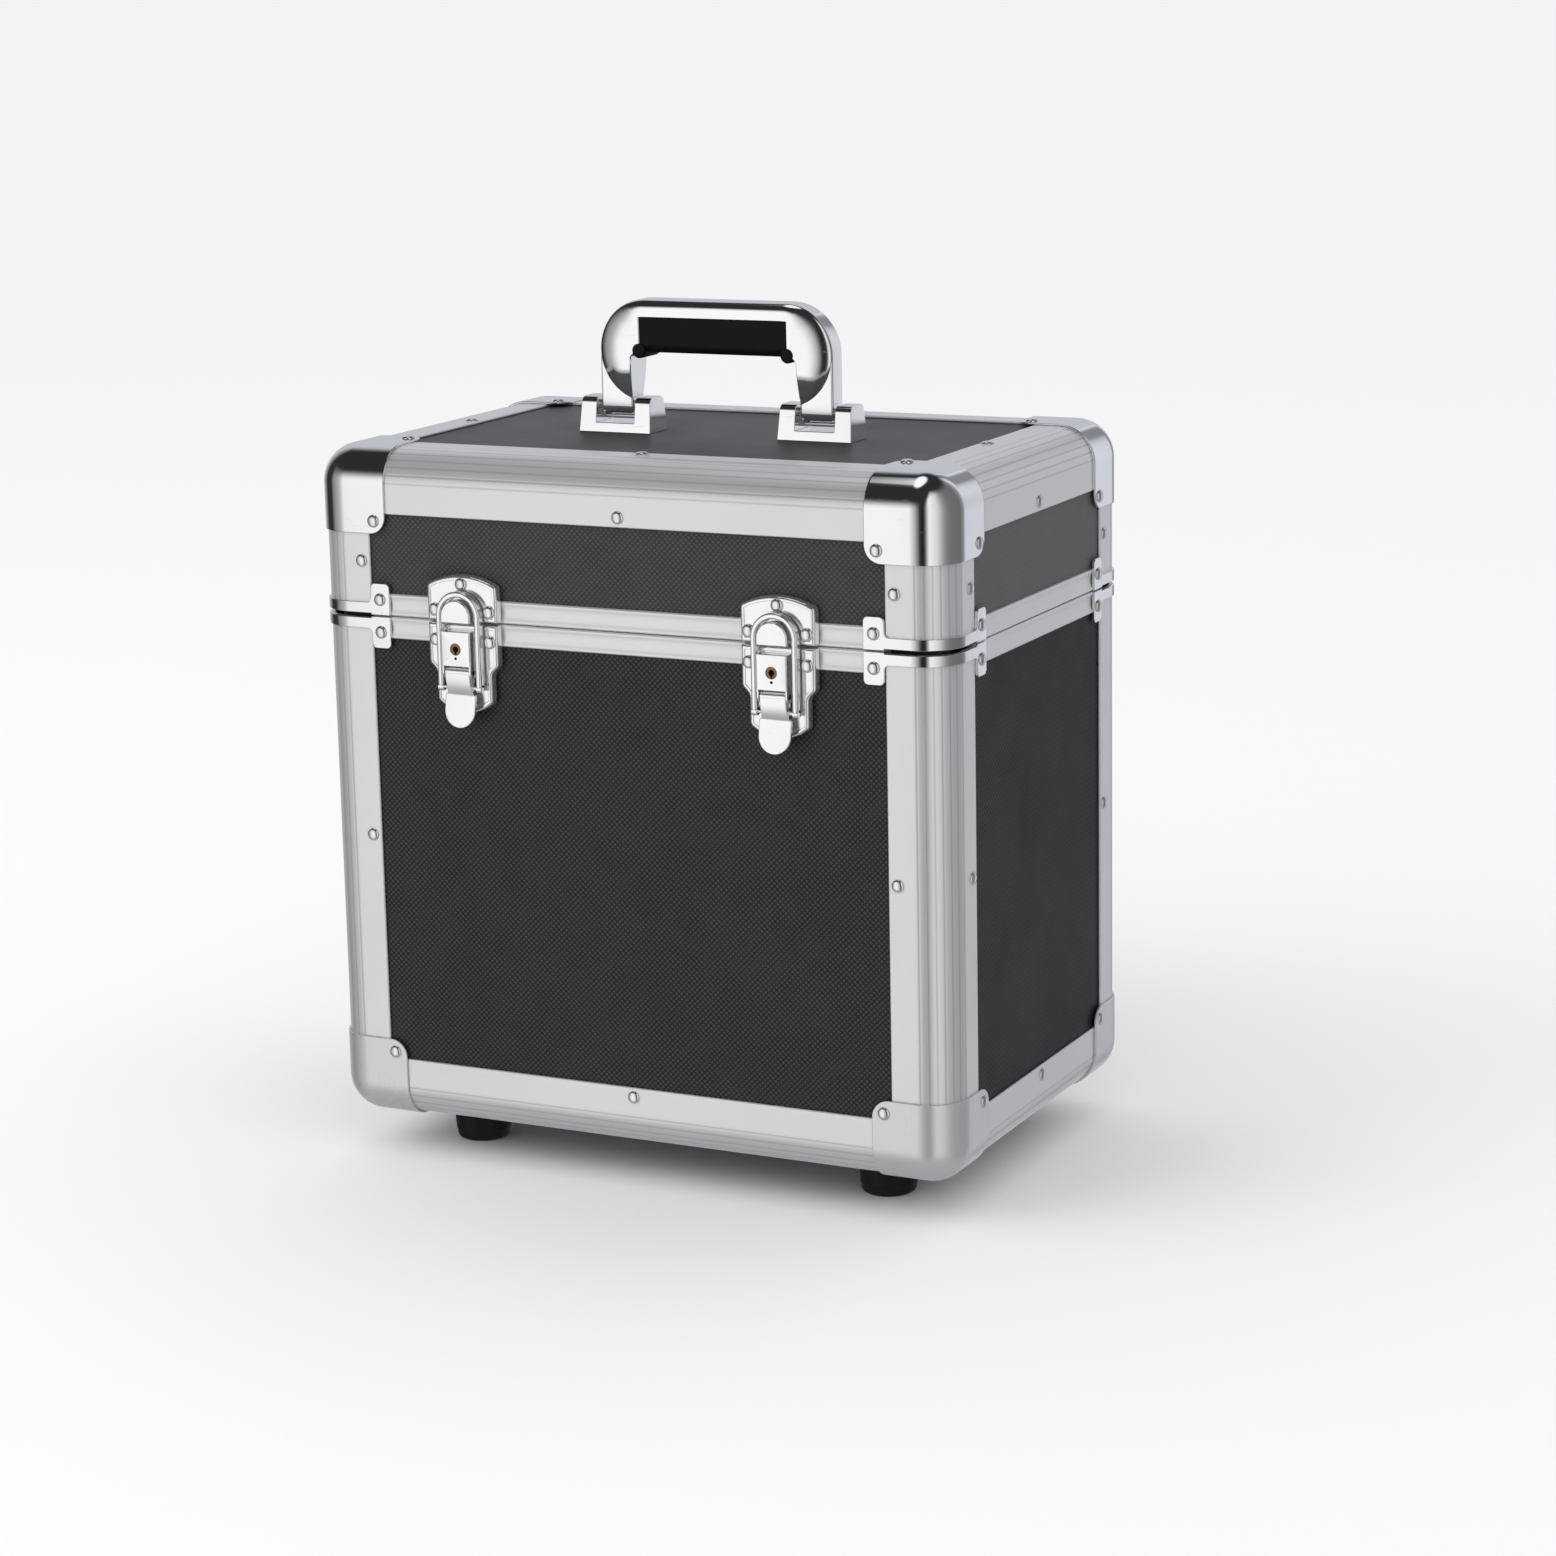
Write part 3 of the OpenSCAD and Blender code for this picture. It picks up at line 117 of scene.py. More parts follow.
tree.links.new(level.outputs["Result"], glow.inputs["Strength"])
tree.links.new(glow.outputs[0], world_out.inputs[0])

half = floor_size / 2
floor = grid_mesh("floor", np.array([[-half, -half, 0], [half, -half, 0], [half, half, 0],
                                     [-half, half, 0]], float), [[0, 1, 2, 3]])
floor_paint = bpy.data.materials.new("floor_paint")
floor_paint.use_nodes = True
floor_shader = floor_paint.node_tree.nodes["Principled BSDF"]
floor_shader.inputs["Base Color"].default_value = (0.96, 0.96, 0.965, 1)
floor_shader.inputs["Roughness"].default_value = 1
floor_shader.inputs["Specular IOR Level"].default_value = 0
floor.data.materials.append(floor_paint)
floor.visible_glossy = False


def facing(place, target):
    """Stands at a place and looks along -Z at the target."""
    aim = Vector(target) - Vector(place)
    return Matrix.Translation(place) @ aim.to_track_quat("-Z", "Y").to_matrix().to_4x4()


case_middle = Vector((0, 0, 0.2))
lamp_size, lamp_watts, lamp_place = 1.8, 17, (-1.5, -1.9, 2.0)
lamp = bpy.data.lights.new("key_lamp", "AREA")
lamp.size, lamp.energy = lamp_size, lamp_watts
holder = bpy.data.objects.new("key_lamp", lamp)
holder.matrix_world = facing(lamp_place, case_middle)
holder.visible_glossy = False
scene.collection.objects.link(holder)

# The cards as one dome that only glossy surfaces see. Its tone follows the azimuth from the front
# towards the right, then darkens to a black ceiling, higher up behind than in front. One white card
# hangs in that ceiling, just left of overhead.
dome_radius, ceiling_tone, ground_tone, behind_tone = 3.0, 0.025, 0.32, 0.55
ring = np.array([
    (-180, 0.80), (-150, 0.72), (-125, 0.54), (-106, 0.20), (-96, 0.03), (-76, 0.03), (-66, 0.24),
    (-56, 0.34), (-46, 0.45), (-38, 0.70), (-33, 0.94), (-28, 1.00), (-20, 0.94), (-12, 0.68),
    (-5, 0.48), (3, 0.22), (9, 0.04), (17, 0.01), (22, 0.06), (28, 0.45), (33, 0.90), (44, 0.80),
    (54, 0.68), (64, 0.45), (74, 0.27), (84, 0.19), (95, 0.16), (128, 0.15), (138, 0.22),
    (145, 0.30), (150, 0.54), (154, 0.70), (159, 0.63), (164, 0.25), (174, 0.25), (180, 0.80)])
top_card, top_card_half = (-0.15, -0.02), (0.20, 0.33)
turn, lift = np.meshgrid(np.linspace(-180, 180, 181), np.linspace(-90, 90, 61), indexing="ij")
cool_shift = np.array([-0.03, -0.015, 0.06])


def ease_between(value, low, high):
    """From 0 to 1 between two limits, smoothly."""
    t = np.clip((value - low) / (high - low), 0, 1)
    return t * t * (3 - 2 * t)


tone = np.interp(turn, *ring.T)
left_behind = ease_between(-turn, 112, 128) * ease_between(lift, -6, 4)
tone += (behind_tone - tone) * left_behind
rear = np.maximum(ease_between(-turn, 60, 115), ease_between(turn, 15, 45))
tone += (ceiling_tone - tone) * ease_between(lift, 10 + 35 * rear, 34 + 28 * rear)
tone += (ground_tone - tone) * ease_between(-lift, 24, 50)
round_by, up_by = np.radians(turn), np.radians(lift)
towards = np.stack([np.sin(round_by) * np.cos(up_by), -np.cos(round_by) * np.cos(up_by),
                    np.sin(up_by)], -1)
off_card = np.linalg.norm((towards[..., :2] - top_card) / top_card_half, axis=-1)
tone += (1 - tone) * ease_between(1 - off_card, -0.15, 0.15) * (lift > 0)
cold = np.maximum(ease_between(turn, 138, 152), ease_between(-turn, 112, 128))[..., None]
colour = tone[..., None] * (1 + cold * cool_shift)
index = np.arange(turn.size).reshape(turn.shape)
quads = np.stack([index[:-1, :-1], index[:-1, 1:], index[1:, 1:], index[1:, :-1]], -1)
dome = grid_mesh("card_dome", (dome_radius * towards + case_middle).reshape(-1, 3),
                 quads.reshape(-1, 4).tolist())
tints = dome.data.color_attributes.new("card", "FLOAT_COLOR", "POINT")
tints.data.foreach_set("color", np.concatenate([colour, np.ones_like(tone)[..., None]], -1).ravel())
dome.visible_camera = dome.visible_diffuse = dome.visible_shadow = False
dome.visible_transmission = dome.visible_volume_scatter = False
board = bpy.data.materials.new("card_board")
board.use_nodes = True
tree = board.node_tree
tree.nodes.clear()
tone_in = node_in(tree, "ShaderNodeAttribute", attribute_name="card")
plain = node_in(tree, "ShaderNodeEmission")
out = node_in(tree, "ShaderNodeOutputMaterial")
tree.links.new(tone_in.outputs["Color"], plain.inputs["Color"])
tree.links.new(plain.outputs[0], out.inputs[0])
dome.data.materials.append(board)

# ---------------------------------------------------------------- panels
# Ten boards of 5 mm with a moulded plastic skin. The skin is pressed with a fine diamond weave:
# two sets of short ridges cross at 45 degrees and pass over and under each other.
MM = 0.001
weave_pitch = 2.06 * MM


def calc(tree, operation, *values):
    """A Math node on sockets or numbers; returns its output."""
    node = tree.nodes.new("ShaderNodeMath")
    node.operation = operation
    for i, value in enumerate(values):
        if isinstance(value, (int, float)):
            node.inputs[i].default_value = value
        else:
            tree.links.new(value, node.inputs[i])
    return node.outputs[0]


def new_group(name, inputs, outputs):
    """A node group: inputs are (kind, name, default), outputs (kind, name)."""
    group = bpy.data.node_groups.new(name, "ShaderNodeTree")
    for kind, label, default in inputs:
        socket = group.interface.new_socket(label, in_out="INPUT", socket_type="NodeSocket" + kind)
        socket.default_value = default
    for kind, label in outputs:
        group.interface.new_socket(label, in_out="OUTPUT", socket_type="NodeSocket" + kind)
    entry, leaving = group.nodes.new("NodeGroupInput"), group.nodes.new("NodeGroupOutput")
    return group, entry.outputs, leaving.inputs


def noise(tree, vector, scale, detail=3, roughness=0.5):
    """Noise at so many cells per metre, as a value."""
    node = node_in(tree, "ShaderNodeTexNoise", Scale=scale, Detail=detail, Roughness=roughness)
    tree.links.new(vector, node.inputs["Vector"])
    return node.outputs["Fac"]


def blend_colours(tree, mask, low, high):
    """From one colour to another by a mask."""
    node = tree.nodes.new("ShaderNodeMix")
    node.data_type = "RGBA"
    node.inputs["A"].default_value = (*low, 1)
    node.inputs["B"].default_value = (*high, 1)
    tree.links.new(mask, node.inputs["Factor"])
    return node.outputs["Result"]


def spread(tree, value, low, high):
    """A value from 0 to 1 laid out between two limits."""
    node = node_in(tree, "ShaderNodeMapRange")
    node.inputs["To Min"].default_value = low
    node.inputs["To Max"].default_value = high
    tree.links.new(value, node.inputs["Value"])
    return node.outputs["Result"]


# The weave: p and q count its threads along the two diagonals. Each set of threads is the absolute
# value of a sine, and in every other cell, as on a chequerboard, the one set lies over the other.
weave, given, made = new_group(
    "diamond_weave", [("Float", "Across", 0.0), ("Float", "Up", 0.0), ("Float", "Pitch", 0.001)],
    [("Float", "Height"), ("Float", "Crest")])
diagonal = calc(weave, "MULTIPLY", given["Pitch"], math.sqrt(2))
p = calc(weave, "DIVIDE", calc(weave, "ADD", given["Across"], given["Up"]), diagonal)
q = calc(weave, "DIVIDE", calc(weave, "SUBTRACT", given["Across"], given["Up"]), diagonal)
ridge_p = calc(weave, "ABSOLUTE", calc(weave, "SINE", calc(weave, "MULTIPLY", p, math.pi)))
ridge_q = calc(weave, "ABSOLUTE", calc(weave, "SINE", calc(weave, "MULTIPLY", q, math.pi)))
turn_taking = calc(weave, "FLOORED_MODULO",
                   calc(weave, "ADD", calc(weave, "FLOOR", p), calc(weave, "FLOOR", q)), 2)
over_p = calc(weave, "MULTIPLY", ridge_p, calc(weave, "MULTIPLY_ADD", ridge_q, 0.45, 0.55))
over_q = calc(weave, "MULTIPLY", ridge_q, calc(weave, "MULTIPLY_ADD", ridge_p, 0.45, 0.55))
taken = calc(weave, "ADD", calc(weave, "MULTIPLY", over_p, turn_taking),
             calc(weave, "MULTIPLY", over_q, calc(weave, "SUBTRACT", 1.0, turn_taking)))
weave.links.new(taken, made["Height"])
weave.links.new(calc(weave, "POWER", taken, 3.0), made["Crest"])

# What handling leaves: smudges from a cloudy noise, and hairline scratches where a noise that is
# stretched along one axis passes a limit.
handling, given, made = new_group(
    "handling", [("Vector", "Vector", (0, 0, 0))],
    [("Float", "Smudge"), ("Float", "Scratch")])
cloud = noise(handling, given["Vector"], 14, 4, 0.6)
soft = node_in(handling, "ShaderNodeMapRange")
soft.inputs["From Min"].default_value = 0.35
soft.inputs["From Max"].default_value = 0.75
handling.links.new(cloud, soft.inputs["Value"])
handling.links.new(soft.outputs["Result"], made["Smudge"])
stretched = node_in(handling, "ShaderNodeVectorMath", operation="MULTIPLY")
stretched.inputs[1].default_value = (90, 700, 500)
handling.links.new(given["Vector"], stretched.inputs[0])
hair = noise(handling, stretched.outputs[0], 1, 2, 0.5)
thin = calc(handling, "GREATER_THAN", hair, 0.71)
handling.links.new(thin, made["Scratch"])


def mixed(tree, one, other, share=0.5):
    """A share of one value and the rest of another."""
    return calc(tree, "MULTIPLY_ADD", one, share, calc(tree, "MULTIPLY", other, 1 - share))


def new_material(name, roughness, metallic=0.0):
    """A material, its tree and shader, and the object coordinates that its patterns follow."""
    material = bpy.data.materials.new(name)
    material.use_nodes = True
    tree = material.node_tree
    shader = tree.nodes["Principled BSDF"]
    shader.inputs["Roughness"].default_value = roughness
    shader.inputs["Metallic"].default_value = metallic
    coordinates = tree.nodes.new("ShaderNodeTexCoord").outputs["Object"]
    return material, tree, shader, coordinates


def placed(tree, group, **sources):
    """A group in a material, its inputs linked to sockets or set to numbers."""
    node = tree.nodes.new("ShaderNodeGroup")
    node.node_tree = group
    for label, source in sources.items():
        if isinstance(source, bpy.types.NodeSocket):
            tree.links.new(source, node.inputs[label])
        else:
            node.inputs[label].default_value = source
    return node.outputs


def add_bump(tree, shader, height, distance, strength=1.0):
    """The height shown as a bump of that depth in metres."""
    bump = node_in(tree, "ShaderNodeBump", Strength=strength, Distance=distance)
    tree.links.new(height, bump.inputs["Height"])
    tree.links.new(bump.outputs[0], shader.inputs["Normal"])


def panel_skin(name, across, upward, pale, shine):
    """The woven skin, its diamonds laid over two of the three axes, a little paler on the lid as
    painted light.
    """
    material, tree, shader, place = new_material(name, 0.42)
    axes = tree.nodes.new("ShaderNodeSeparateXYZ")
    tree.links.new(place, axes.inputs[0])
    cloth = placed(tree, weave, Across=axes.outputs[across], Up=axes.outputs[upward],
                   Pitch=weave_pitch)
    worn = placed(tree, handling, Vector=place)
    patch = noise(tree, place, 60, 2)
    lit = calc(tree, "MULTIPLY_ADD", patch, 0.2, calc(tree, "MULTIPLY", cloth["Crest"], 0.95))
    dark, crest = (0.005, 0.005, 0.0055), (0.053, 0.052, 0.063)
    # On the lid both colours are raised by pale: painted light.
    colour = blend_colours(tree, lit, [c + pale for c in dark], [c + pale for c in crest])
    tree.links.new(colour, shader.inputs["Base Color"])
    shader.inputs["Specular IOR Level"].default_value = shine
    dull = calc(tree, "MULTIPLY_ADD", worn["Smudge"], 0.08, 0.42)
    tree.links.new(dull, shader.inputs["Roughness"])
    add_bump(tree, shader, cloth["Height"], 0.085 * MM, 0.6)
    return material


def dress(node, material):
    """The CAD piece keeps its mesh and gets this material."""
    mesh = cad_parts[node].data
    mesh.materials.clear()
    mesh.materials.append(material)


# The lid's copies of each skin are paler, most on its sides: painted light that differs with the
# face's direction.
for name, across, upward, walls, lid_painted_light, shine in [
        ("front", "X", "Z", ("front", "back"), 0.018, 0.30),
        ("side", "Y", "Z", ("left", "right"), 0.075, 0.22),
        ("flat", "X", "Y", ("top", "bottom"), 0.030, 0.30)]:
    for half_name, pale in (("lid", lid_painted_light), ("body", 0.0)):
        material = panel_skin(f"{half_name}_skin_{name}", across, upward, pale, shine)
        for wall in walls:
            if f"{half_name}_{wall}_panel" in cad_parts:
                dress(f"{half_name}_{wall}_panel", material)

# ---------------------------------------------------------------- edge profiles
# Extruded aluminium, satin anodised: two flat flanges joined by a rounded corner with shallow
# flutes along it. A bar lies along each top and bottom edge, and a post stands at each corner.
skin_in, skin_t, corner_r, flange_w = 1.2, 1.5, 20.0, 33.5
flute_n, flute_depth, flute_share = 7, 0.07, 0.32
low_case, high_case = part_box("body_cap_front_left")[0] / MM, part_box("lid_cap_back_right")[1] / MM
half_w, half_d, base_z, top_z = high_case.x, high_case.y, low_case.z, high_case.z


def skin(loops, ring=False):
    """A closed surface through a stack of closed loops, (rows, points, 3): quads join neighbouring
    rows, and an n-gon closes each end, unless the stack is a ring that closes on itself."""
    rows, count = loops.shape[:2]
    index = np.arange(rows * count).reshape(rows, count)
    first, following = (index, np.roll(index, -1, 0)) if ring else (index[:-1], index[1:])
    quads = np.stack([first, np.roll(first, -1, 1), np.roll(following, -1, 1), following], -1)
    faces = quads.reshape(-1, 4).tolist()
    if not ring:
        faces += [index[0, ::-1].tolist(), index[-1].tolist()]
    return loops.reshape(-1, 3), faces


def build(name, shells, material, body, slot, *nodes, sharp=38):
    """One piece from closed shells of points in millimetres. Faces are turned outwards, edges over
    the sharp angle stay crisp, and large flat faces keep straight reflections."""
    starts = np.cumsum([0] + [len(points) for points, _ in shells])
    points = np.concatenate([points for points, _ in shells]) * MM
    faces = [[corner + start for corner in face]
             for (_, shell_faces), start in zip(shells, starts) for face in shell_faces]
    piece = grid_mesh(name, points, faces)
    shape = bmesh.new()
    shape.from_mesh(piece.data)
    bmesh.ops.recalc_face_normals(shape, faces=shape.faces)
    shape.to_mesh(piece.data)
    shape.free()
    return finish_piece(piece, material, body, slot, nodes, sharp)


def finish_piece(piece, material, body, slot, nodes, sharp=38):
    """Smooth shading, material, and what the piece stands for and rides on."""
    piece.data.polygons.foreach_set("use_smooth", np.ones(len(piece.data.polygons), bool))
    piece.data.set_sharp_from_angle(angle=math.radians(sharp))
    weighting = piece.modifiers.new("even_normals", "WEIGHTED_NORMAL")
    weighting.keep_sharp = True
    piece.data.materials.append(material)
    if nodes:
        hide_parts(*nodes)
    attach(piece, body)
    return piece


# Drawn metal: a noise on coordinates that are scaled up across the lines far more than along them,
# and a slow change of tone over the piece.
drawn, given, made = new_group(
    "drawn_metal", [("Vector", "Vector", (0, 0, 0)), ("Vector", "Stretch", (1, 1, 1))],
    [("Float", "Lines"), ("Float", "Cloud")])
pulled = node_in(drawn, "ShaderNodeVectorMath", operation="MULTIPLY")
drawn.links.new(given["Vector"], pulled.inputs[0])
drawn.links.new(given["Stretch"], pulled.inputs[1])
drawn.links.new(noise(drawn, pulled.outputs[0], 1, 3, 0.6), made["Lines"])
drawn.links.new(noise(drawn, given["Vector"], 25, 3, 0.5), made["Cloud"])


def satin_metal(name, axis, tint, roughness, line_depth=0.008, slow=6, fast=2600, mirror=0.64):
    """Metal with fine lines drawn along an axis (0, 1, 2), or an even grain with axis None. The
    etched surface scatters what the mirror share leaves."""
    stretch = [fast] * 3
    if axis is not None:
        stretch[axis] = slow
    material, tree, shader, place = new_material(name, roughness, mirror)
    metal = placed(tree, drawn, Vector=place, Stretch=stretch)
    worn = placed(tree, handling, Vector=place)
    dark = tuple(0.95 * c for c in tint)
    mask = mixed(tree, metal["Lines"], metal["Cloud"])
    tree.links.new(blend_colours(tree, mask, dark, tint), shader.inputs["Base Color"])
    rough = calc(tree, "MULTIPLY_ADD", metal["Lines"], 0.06, roughness - 0.03)
    rough = calc(tree, "MULTIPLY_ADD", worn["Smudge"], 0.04, rough)
    tree.links.new(rough, shader.inputs["Roughness"])
    add_bump(tree, shader, metal["Lines"], line_depth * MM, 0.4)
    return material


def arc(centre, radius, start, end, count):
    """Points along an arc between two angles in degrees."""
    angle = np.radians(np.linspace(start, end, count))
    return np.stack([centre[0] + radius * np.cos(angle), centre[1] + radius * np.sin(angle)], -1)


def profile_section():
    """The extrusion's section as depths below both outer planes: the flange edges are rounded, and
    each flute is one wave of a raised cosine cut into the outer arc. Also gives how far each point
    lies in a flute, from 0 to 1."""
    share = np.linspace(0, 1, 12 * flute_n + 1)
    angle = np.radians(180 + 90 * share)
    wave = (share * flute_n) % 1 - 0.5
    cosine = 0.5 + 0.5 * np.cos(2 * np.pi * wave / flute_share)
    cut = np.where(abs(wave) < flute_share / 2, cosine, 0)
    reach = corner_r - skin_in - flute_depth * cut
    outer = np.stack([corner_r + reach * np.cos(angle), corner_r + reach * np.sin(angle)], -1)
    lip = skin_t / 2
    low_lip = arc((flange_w - lip, skin_in + lip), lip, -90, 90, 7)
    high_lip = arc((skin_in + lip, flange_w - lip), lip, 0, 180, 7)
    inner = arc((corner_r, corner_r), corner_r - skin_in - skin_t, 270, 180, 13)
    loop = np.concatenate([outer, low_lip, inner, high_lip])
    return loop, np.pad(cut, (0, len(loop) - len(cut)))


section, fluted = profile_section()
bar_ends = np.array([-1, 1])
bar_end_gap = 0.5
reach_x, reach_y = (half_side - flange_w - bar_end_gap for half_side in (half_w, half_d))
reach_z = {half_name: [corner.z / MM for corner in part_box(f"{half_name}_corner_posts")]
           for half_name in ("lid", "body")}
aluminium = (0.79, 0.79, 0.805)


def with_flute_shade(material, flute_shade_colour=(0.42, 0.42, 0.43, 1), share=0.6):
    """Painted shade: the flutes are darkened a little, where a value on the mesh marks them."""
    tree = material.node_tree
    colour = tree.nodes["Principled BSDF"].inputs["Base Color"]
    clean = colour.links[0].from_socket
    marked = node_in(tree, "ShaderNodeAttribute", attribute_name="flute")
    flute_shaded = tree.nodes.new("ShaderNodeMix")
    flute_shaded.data_type = "RGBA"
    flute_shaded.inputs["B"].default_value = flute_shade_colour
    tree.links.new(calc(tree, "MULTIPLY", marked.outputs["Fac"], share), flute_shaded.inputs["Factor"])
    tree.links.new(clean, flute_shaded.inputs["A"])
    tree.links.new(flute_shaded.outputs["Result"], colour)
    return material


# The profiles get painted shade in their flutes.
edge_metal = [with_flute_shade(satin_metal(f"edge_aluminium_{axis}", i, aluminium, 0.30))
              for i, axis in enumerate("xyz")]


def mark_flutes(piece):
    """Writes the flutes' depth, from 0 to 1, to a piece made of profile sections."""
    values = piece.data.attributes.new("flute", "FLOAT", "POINT").data
    values.foreach_set("value", np.tile(fluted, len(values) // len(fluted)))


def extrude(axis, stations, first, second):
    """A section drawn out straight along an axis, between two stations. Its two coordinates go to
    the other two axes in their order."""
    rows = [first[None], second[None]]
    rows.insert(axis, np.array(stations)[:, None])
    return skin(np.stack(np.broadcast_arrays(*rows), -1))


for half_name, face_z in (("lid", top_z), ("body", base_z)):
    rise = face_z - section[:, 1] if half_name == "lid" else face_z + section[:, 1]
    for side_name, along, side in (("front", 0, -1), ("back", 0, 1),
                                   ("left", 1, -1), ("right", 1, 1)):
        node = f"{half_name}_{side_name}_edge"
        bar = extrude(along, bar_ends * (reach_x, reach_y)[along],
                      side * ((half_d, half_w)[along] - section[:, 0]), rise)
        mark_flutes(build(f"{node}_profile", [bar], edge_metal[along], half_name,
                          "edge_aluminium", node))
    posts = [extrude(2, reach_z[half_name], side_x * (half_w - section[:, 0]),
                     side_y * (half_d - section[:, 1])) for side_x in (-1, 1) for side_y in (-1, 1)]
    mark_flutes(build(f"{half_name}_post_profiles", posts, edge_metal[2], half_name,
                      "edge_aluminium", f"{half_name}_corner_posts"))

# ---------------------------------------------------------------- rails at the split
# Aluminium strips along both sides of the split. Each face is slightly hollow between two rounded
# beads. A tongue on the body's rail stands in a groove of the lid's rail.
split_z = (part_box("lid_rim_rails")[0].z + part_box("body_corner_clamps")[1].z) / 2 / MM
rail_gap, rail_h, rail_in, bead_r, hollow = 0.2, 11.4, 9.0, 1.0, 0.75
tongue_mid, tongue_half, tongue_h, groove_half, groove_h = 5.1, 1.0, 2.5, 1.7, 3.2


def rail_section(upper):
    """Depth and height above the split: two beads and a hollow in front, square behind."""
    low_bead = arc((skin_in + bead_r, rail_gap + bead_r), bead_r, 270, 180, 6)
    high_bead = arc((skin_in + bead_r, rail_h - bead_r), bead_r, 180, 90, 6)
    t = np.linspace(0, 1, 14)[1:-1]
    dip = hollow * np.sin(np.pi * np.clip((t - 0.06) / 0.88, 0, 1)) ** 0.6
    face = np.stack([skin_in + dip, rail_gap + bead_r + t * (rail_h - rail_gap - 2 * bead_r)], -1)
    half_width, end = (groove_half, groove_h) if upper else (tongue_half, -tongue_h)
    behind = [[rail_in, rail_h], [rail_in, rail_gap], [tongue_mid + half_width, rail_gap],
              [tongue_mid + half_width, end], [tongue_mid - half_width, end],
              [tongue_mid - half_width, rail_gap]]
    return np.concatenate([low_bead, face, high_bead, np.array(behind)])


rail_metal = [satin_metal(f"rail_aluminium_{a}", i, (0.79, 0.79, 0.80), 0.28, 0.005)
              for i, a in enumerate("xy")]
for half_name, sign in (("lid", 1), ("body", -1)):
    section_r = rail_section(half_name == "lid")
    for along, ends in ((0, reach_x), (1, reach_y)):
        rails = [extrude(along, bar_ends * ends, side * ((half_d, half_w)[along] - section_r[:, 0]),
                         split_z + sign * section_r[:, 1]) for side in (-1, 1)]
        build(f"{half_name}_rails_{'xy'[along]}", rails, rail_metal[along], half_name,
              "rail_aluminium", f"{half_name}_rim_rails")

# ---------------------------------------------------------------- corner caps
# Deep-drawn sheet steel: a ball corner that runs out into three flanges with rounded tabs. The
# lid's caps are polished chrome, the body's caps are left satin.
cap_w, cap_round, cap_t, cap_rim = 43.5, 9.0, 1.2, 0.4
sides = ((-1, "left"), (1, "right"))


def cap_stations():
    """Places along a flange: close together on the ball and on the tab's round, far on the flat."""
    return np.concatenate([np.linspace(0, corner_r, 15)[:-1],
                           np.linspace(corner_r, cap_w - cap_round, 4)[:-1],
                           np.linspace(cap_w - cap_round, cap_w, 9)])


def cap_patch(order):
    """A third of the cap as a function of two distances from the corner. A point is pushed out from
    the nearest point of the inner box by the corner radius, and the square end of the tab is
    squeezed into a quarter disc, ring by ring."""
    u, v = np.meshgrid(cap_stations(), cap_stations(), indexing="ij")
    inside = cap_w - cap_round
    a, b = np.clip(u - inside, 0, None), np.clip(v - inside, 0, None)
    ring = np.maximum(a, b)
    turn = np.divide(np.minimum(a, b), ring, out=np.zeros_like(ring), where=ring > 0) * np.pi / 4
    long, short = ring * np.cos(turn), ring * np.sin(turn)
    both = (a > 0) & (b > 0)
    u = np.where(both, inside + np.where(a >= b, long, short), u)
    v = np.where(both, inside + np.where(a >= b, short, long), v)
    flat = np.stack([u, v, np.zeros_like(u)], -1)
    core = np.maximum(flat, corner_r)
    away = flat - core
    away /= np.linalg.norm(away, axis=-1, keepdims=True)
    return (core + corner_r * away)[..., order]


def cap_sheet(side_x, side_y, top):
    """Three patches, welded along their shared edges, with their faces turned outwards."""
    count = len(cap_stations())
    index = np.arange(count * count).reshape(count, count)
    quads = np.stack([index[:-1, :-1], index[1:, :-1], index[1:, 1:], index[:-1, 1:]], -1)
    quads = quads.reshape(-1, 4)
    points, faces = [], []
    for patch, order in enumerate(([0, 1, 2], [2, 0, 1], [1, 2, 0])):
        points.append(cap_patch(order).reshape(-1, 3))
        faces.append(quads + patch * count * count)
    points, faces = np.concatenate(points), np.concatenate(faces)
    sign_z = -1 if top else 1
    placed_points = np.stack([-side_x * points[:, 0] + side_x * half_w,
                              -side_y * points[:, 1] + side_y * half_d,
                              sign_z * points[:, 2] + (top_z if top else base_z)], -1)
    mirrored = (-side_x) * (-side_y) * sign_z < 0
    return placed_points, faces if mirrored else faces[:, ::-1]


def polished(name, tint, roughness, ripple=0.012, mirror=1.0):
    """Polished plating over pressed sheet: faint ripples, smudges and hairline scratches."""
    material, tree, shader, place = new_material(name, roughness, mirror)
    worn = placed(tree, handling, Vector=place)
    cloudy = calc(tree, "MULTIPLY_ADD", worn["Smudge"], 0.6, 0.0)
    pale = tuple(min(1.0, 1.04 * c) for c in tint)
    tree.links.new(blend_colours(tree, cloudy, pale, tint), shader.inputs["Base Color"])
    rough = calc(tree, "MULTIPLY_ADD", worn["Smudge"], 0.05, roughness)
    rough = calc(tree, "MULTIPLY_ADD", worn["Scratch"], 0.12, rough)
    tree.links.new(rough, shader.inputs["Roughness"])
    add_bump(tree, shader, noise(tree, place, 70, 2), ripple * MM, 0.6)
    return material


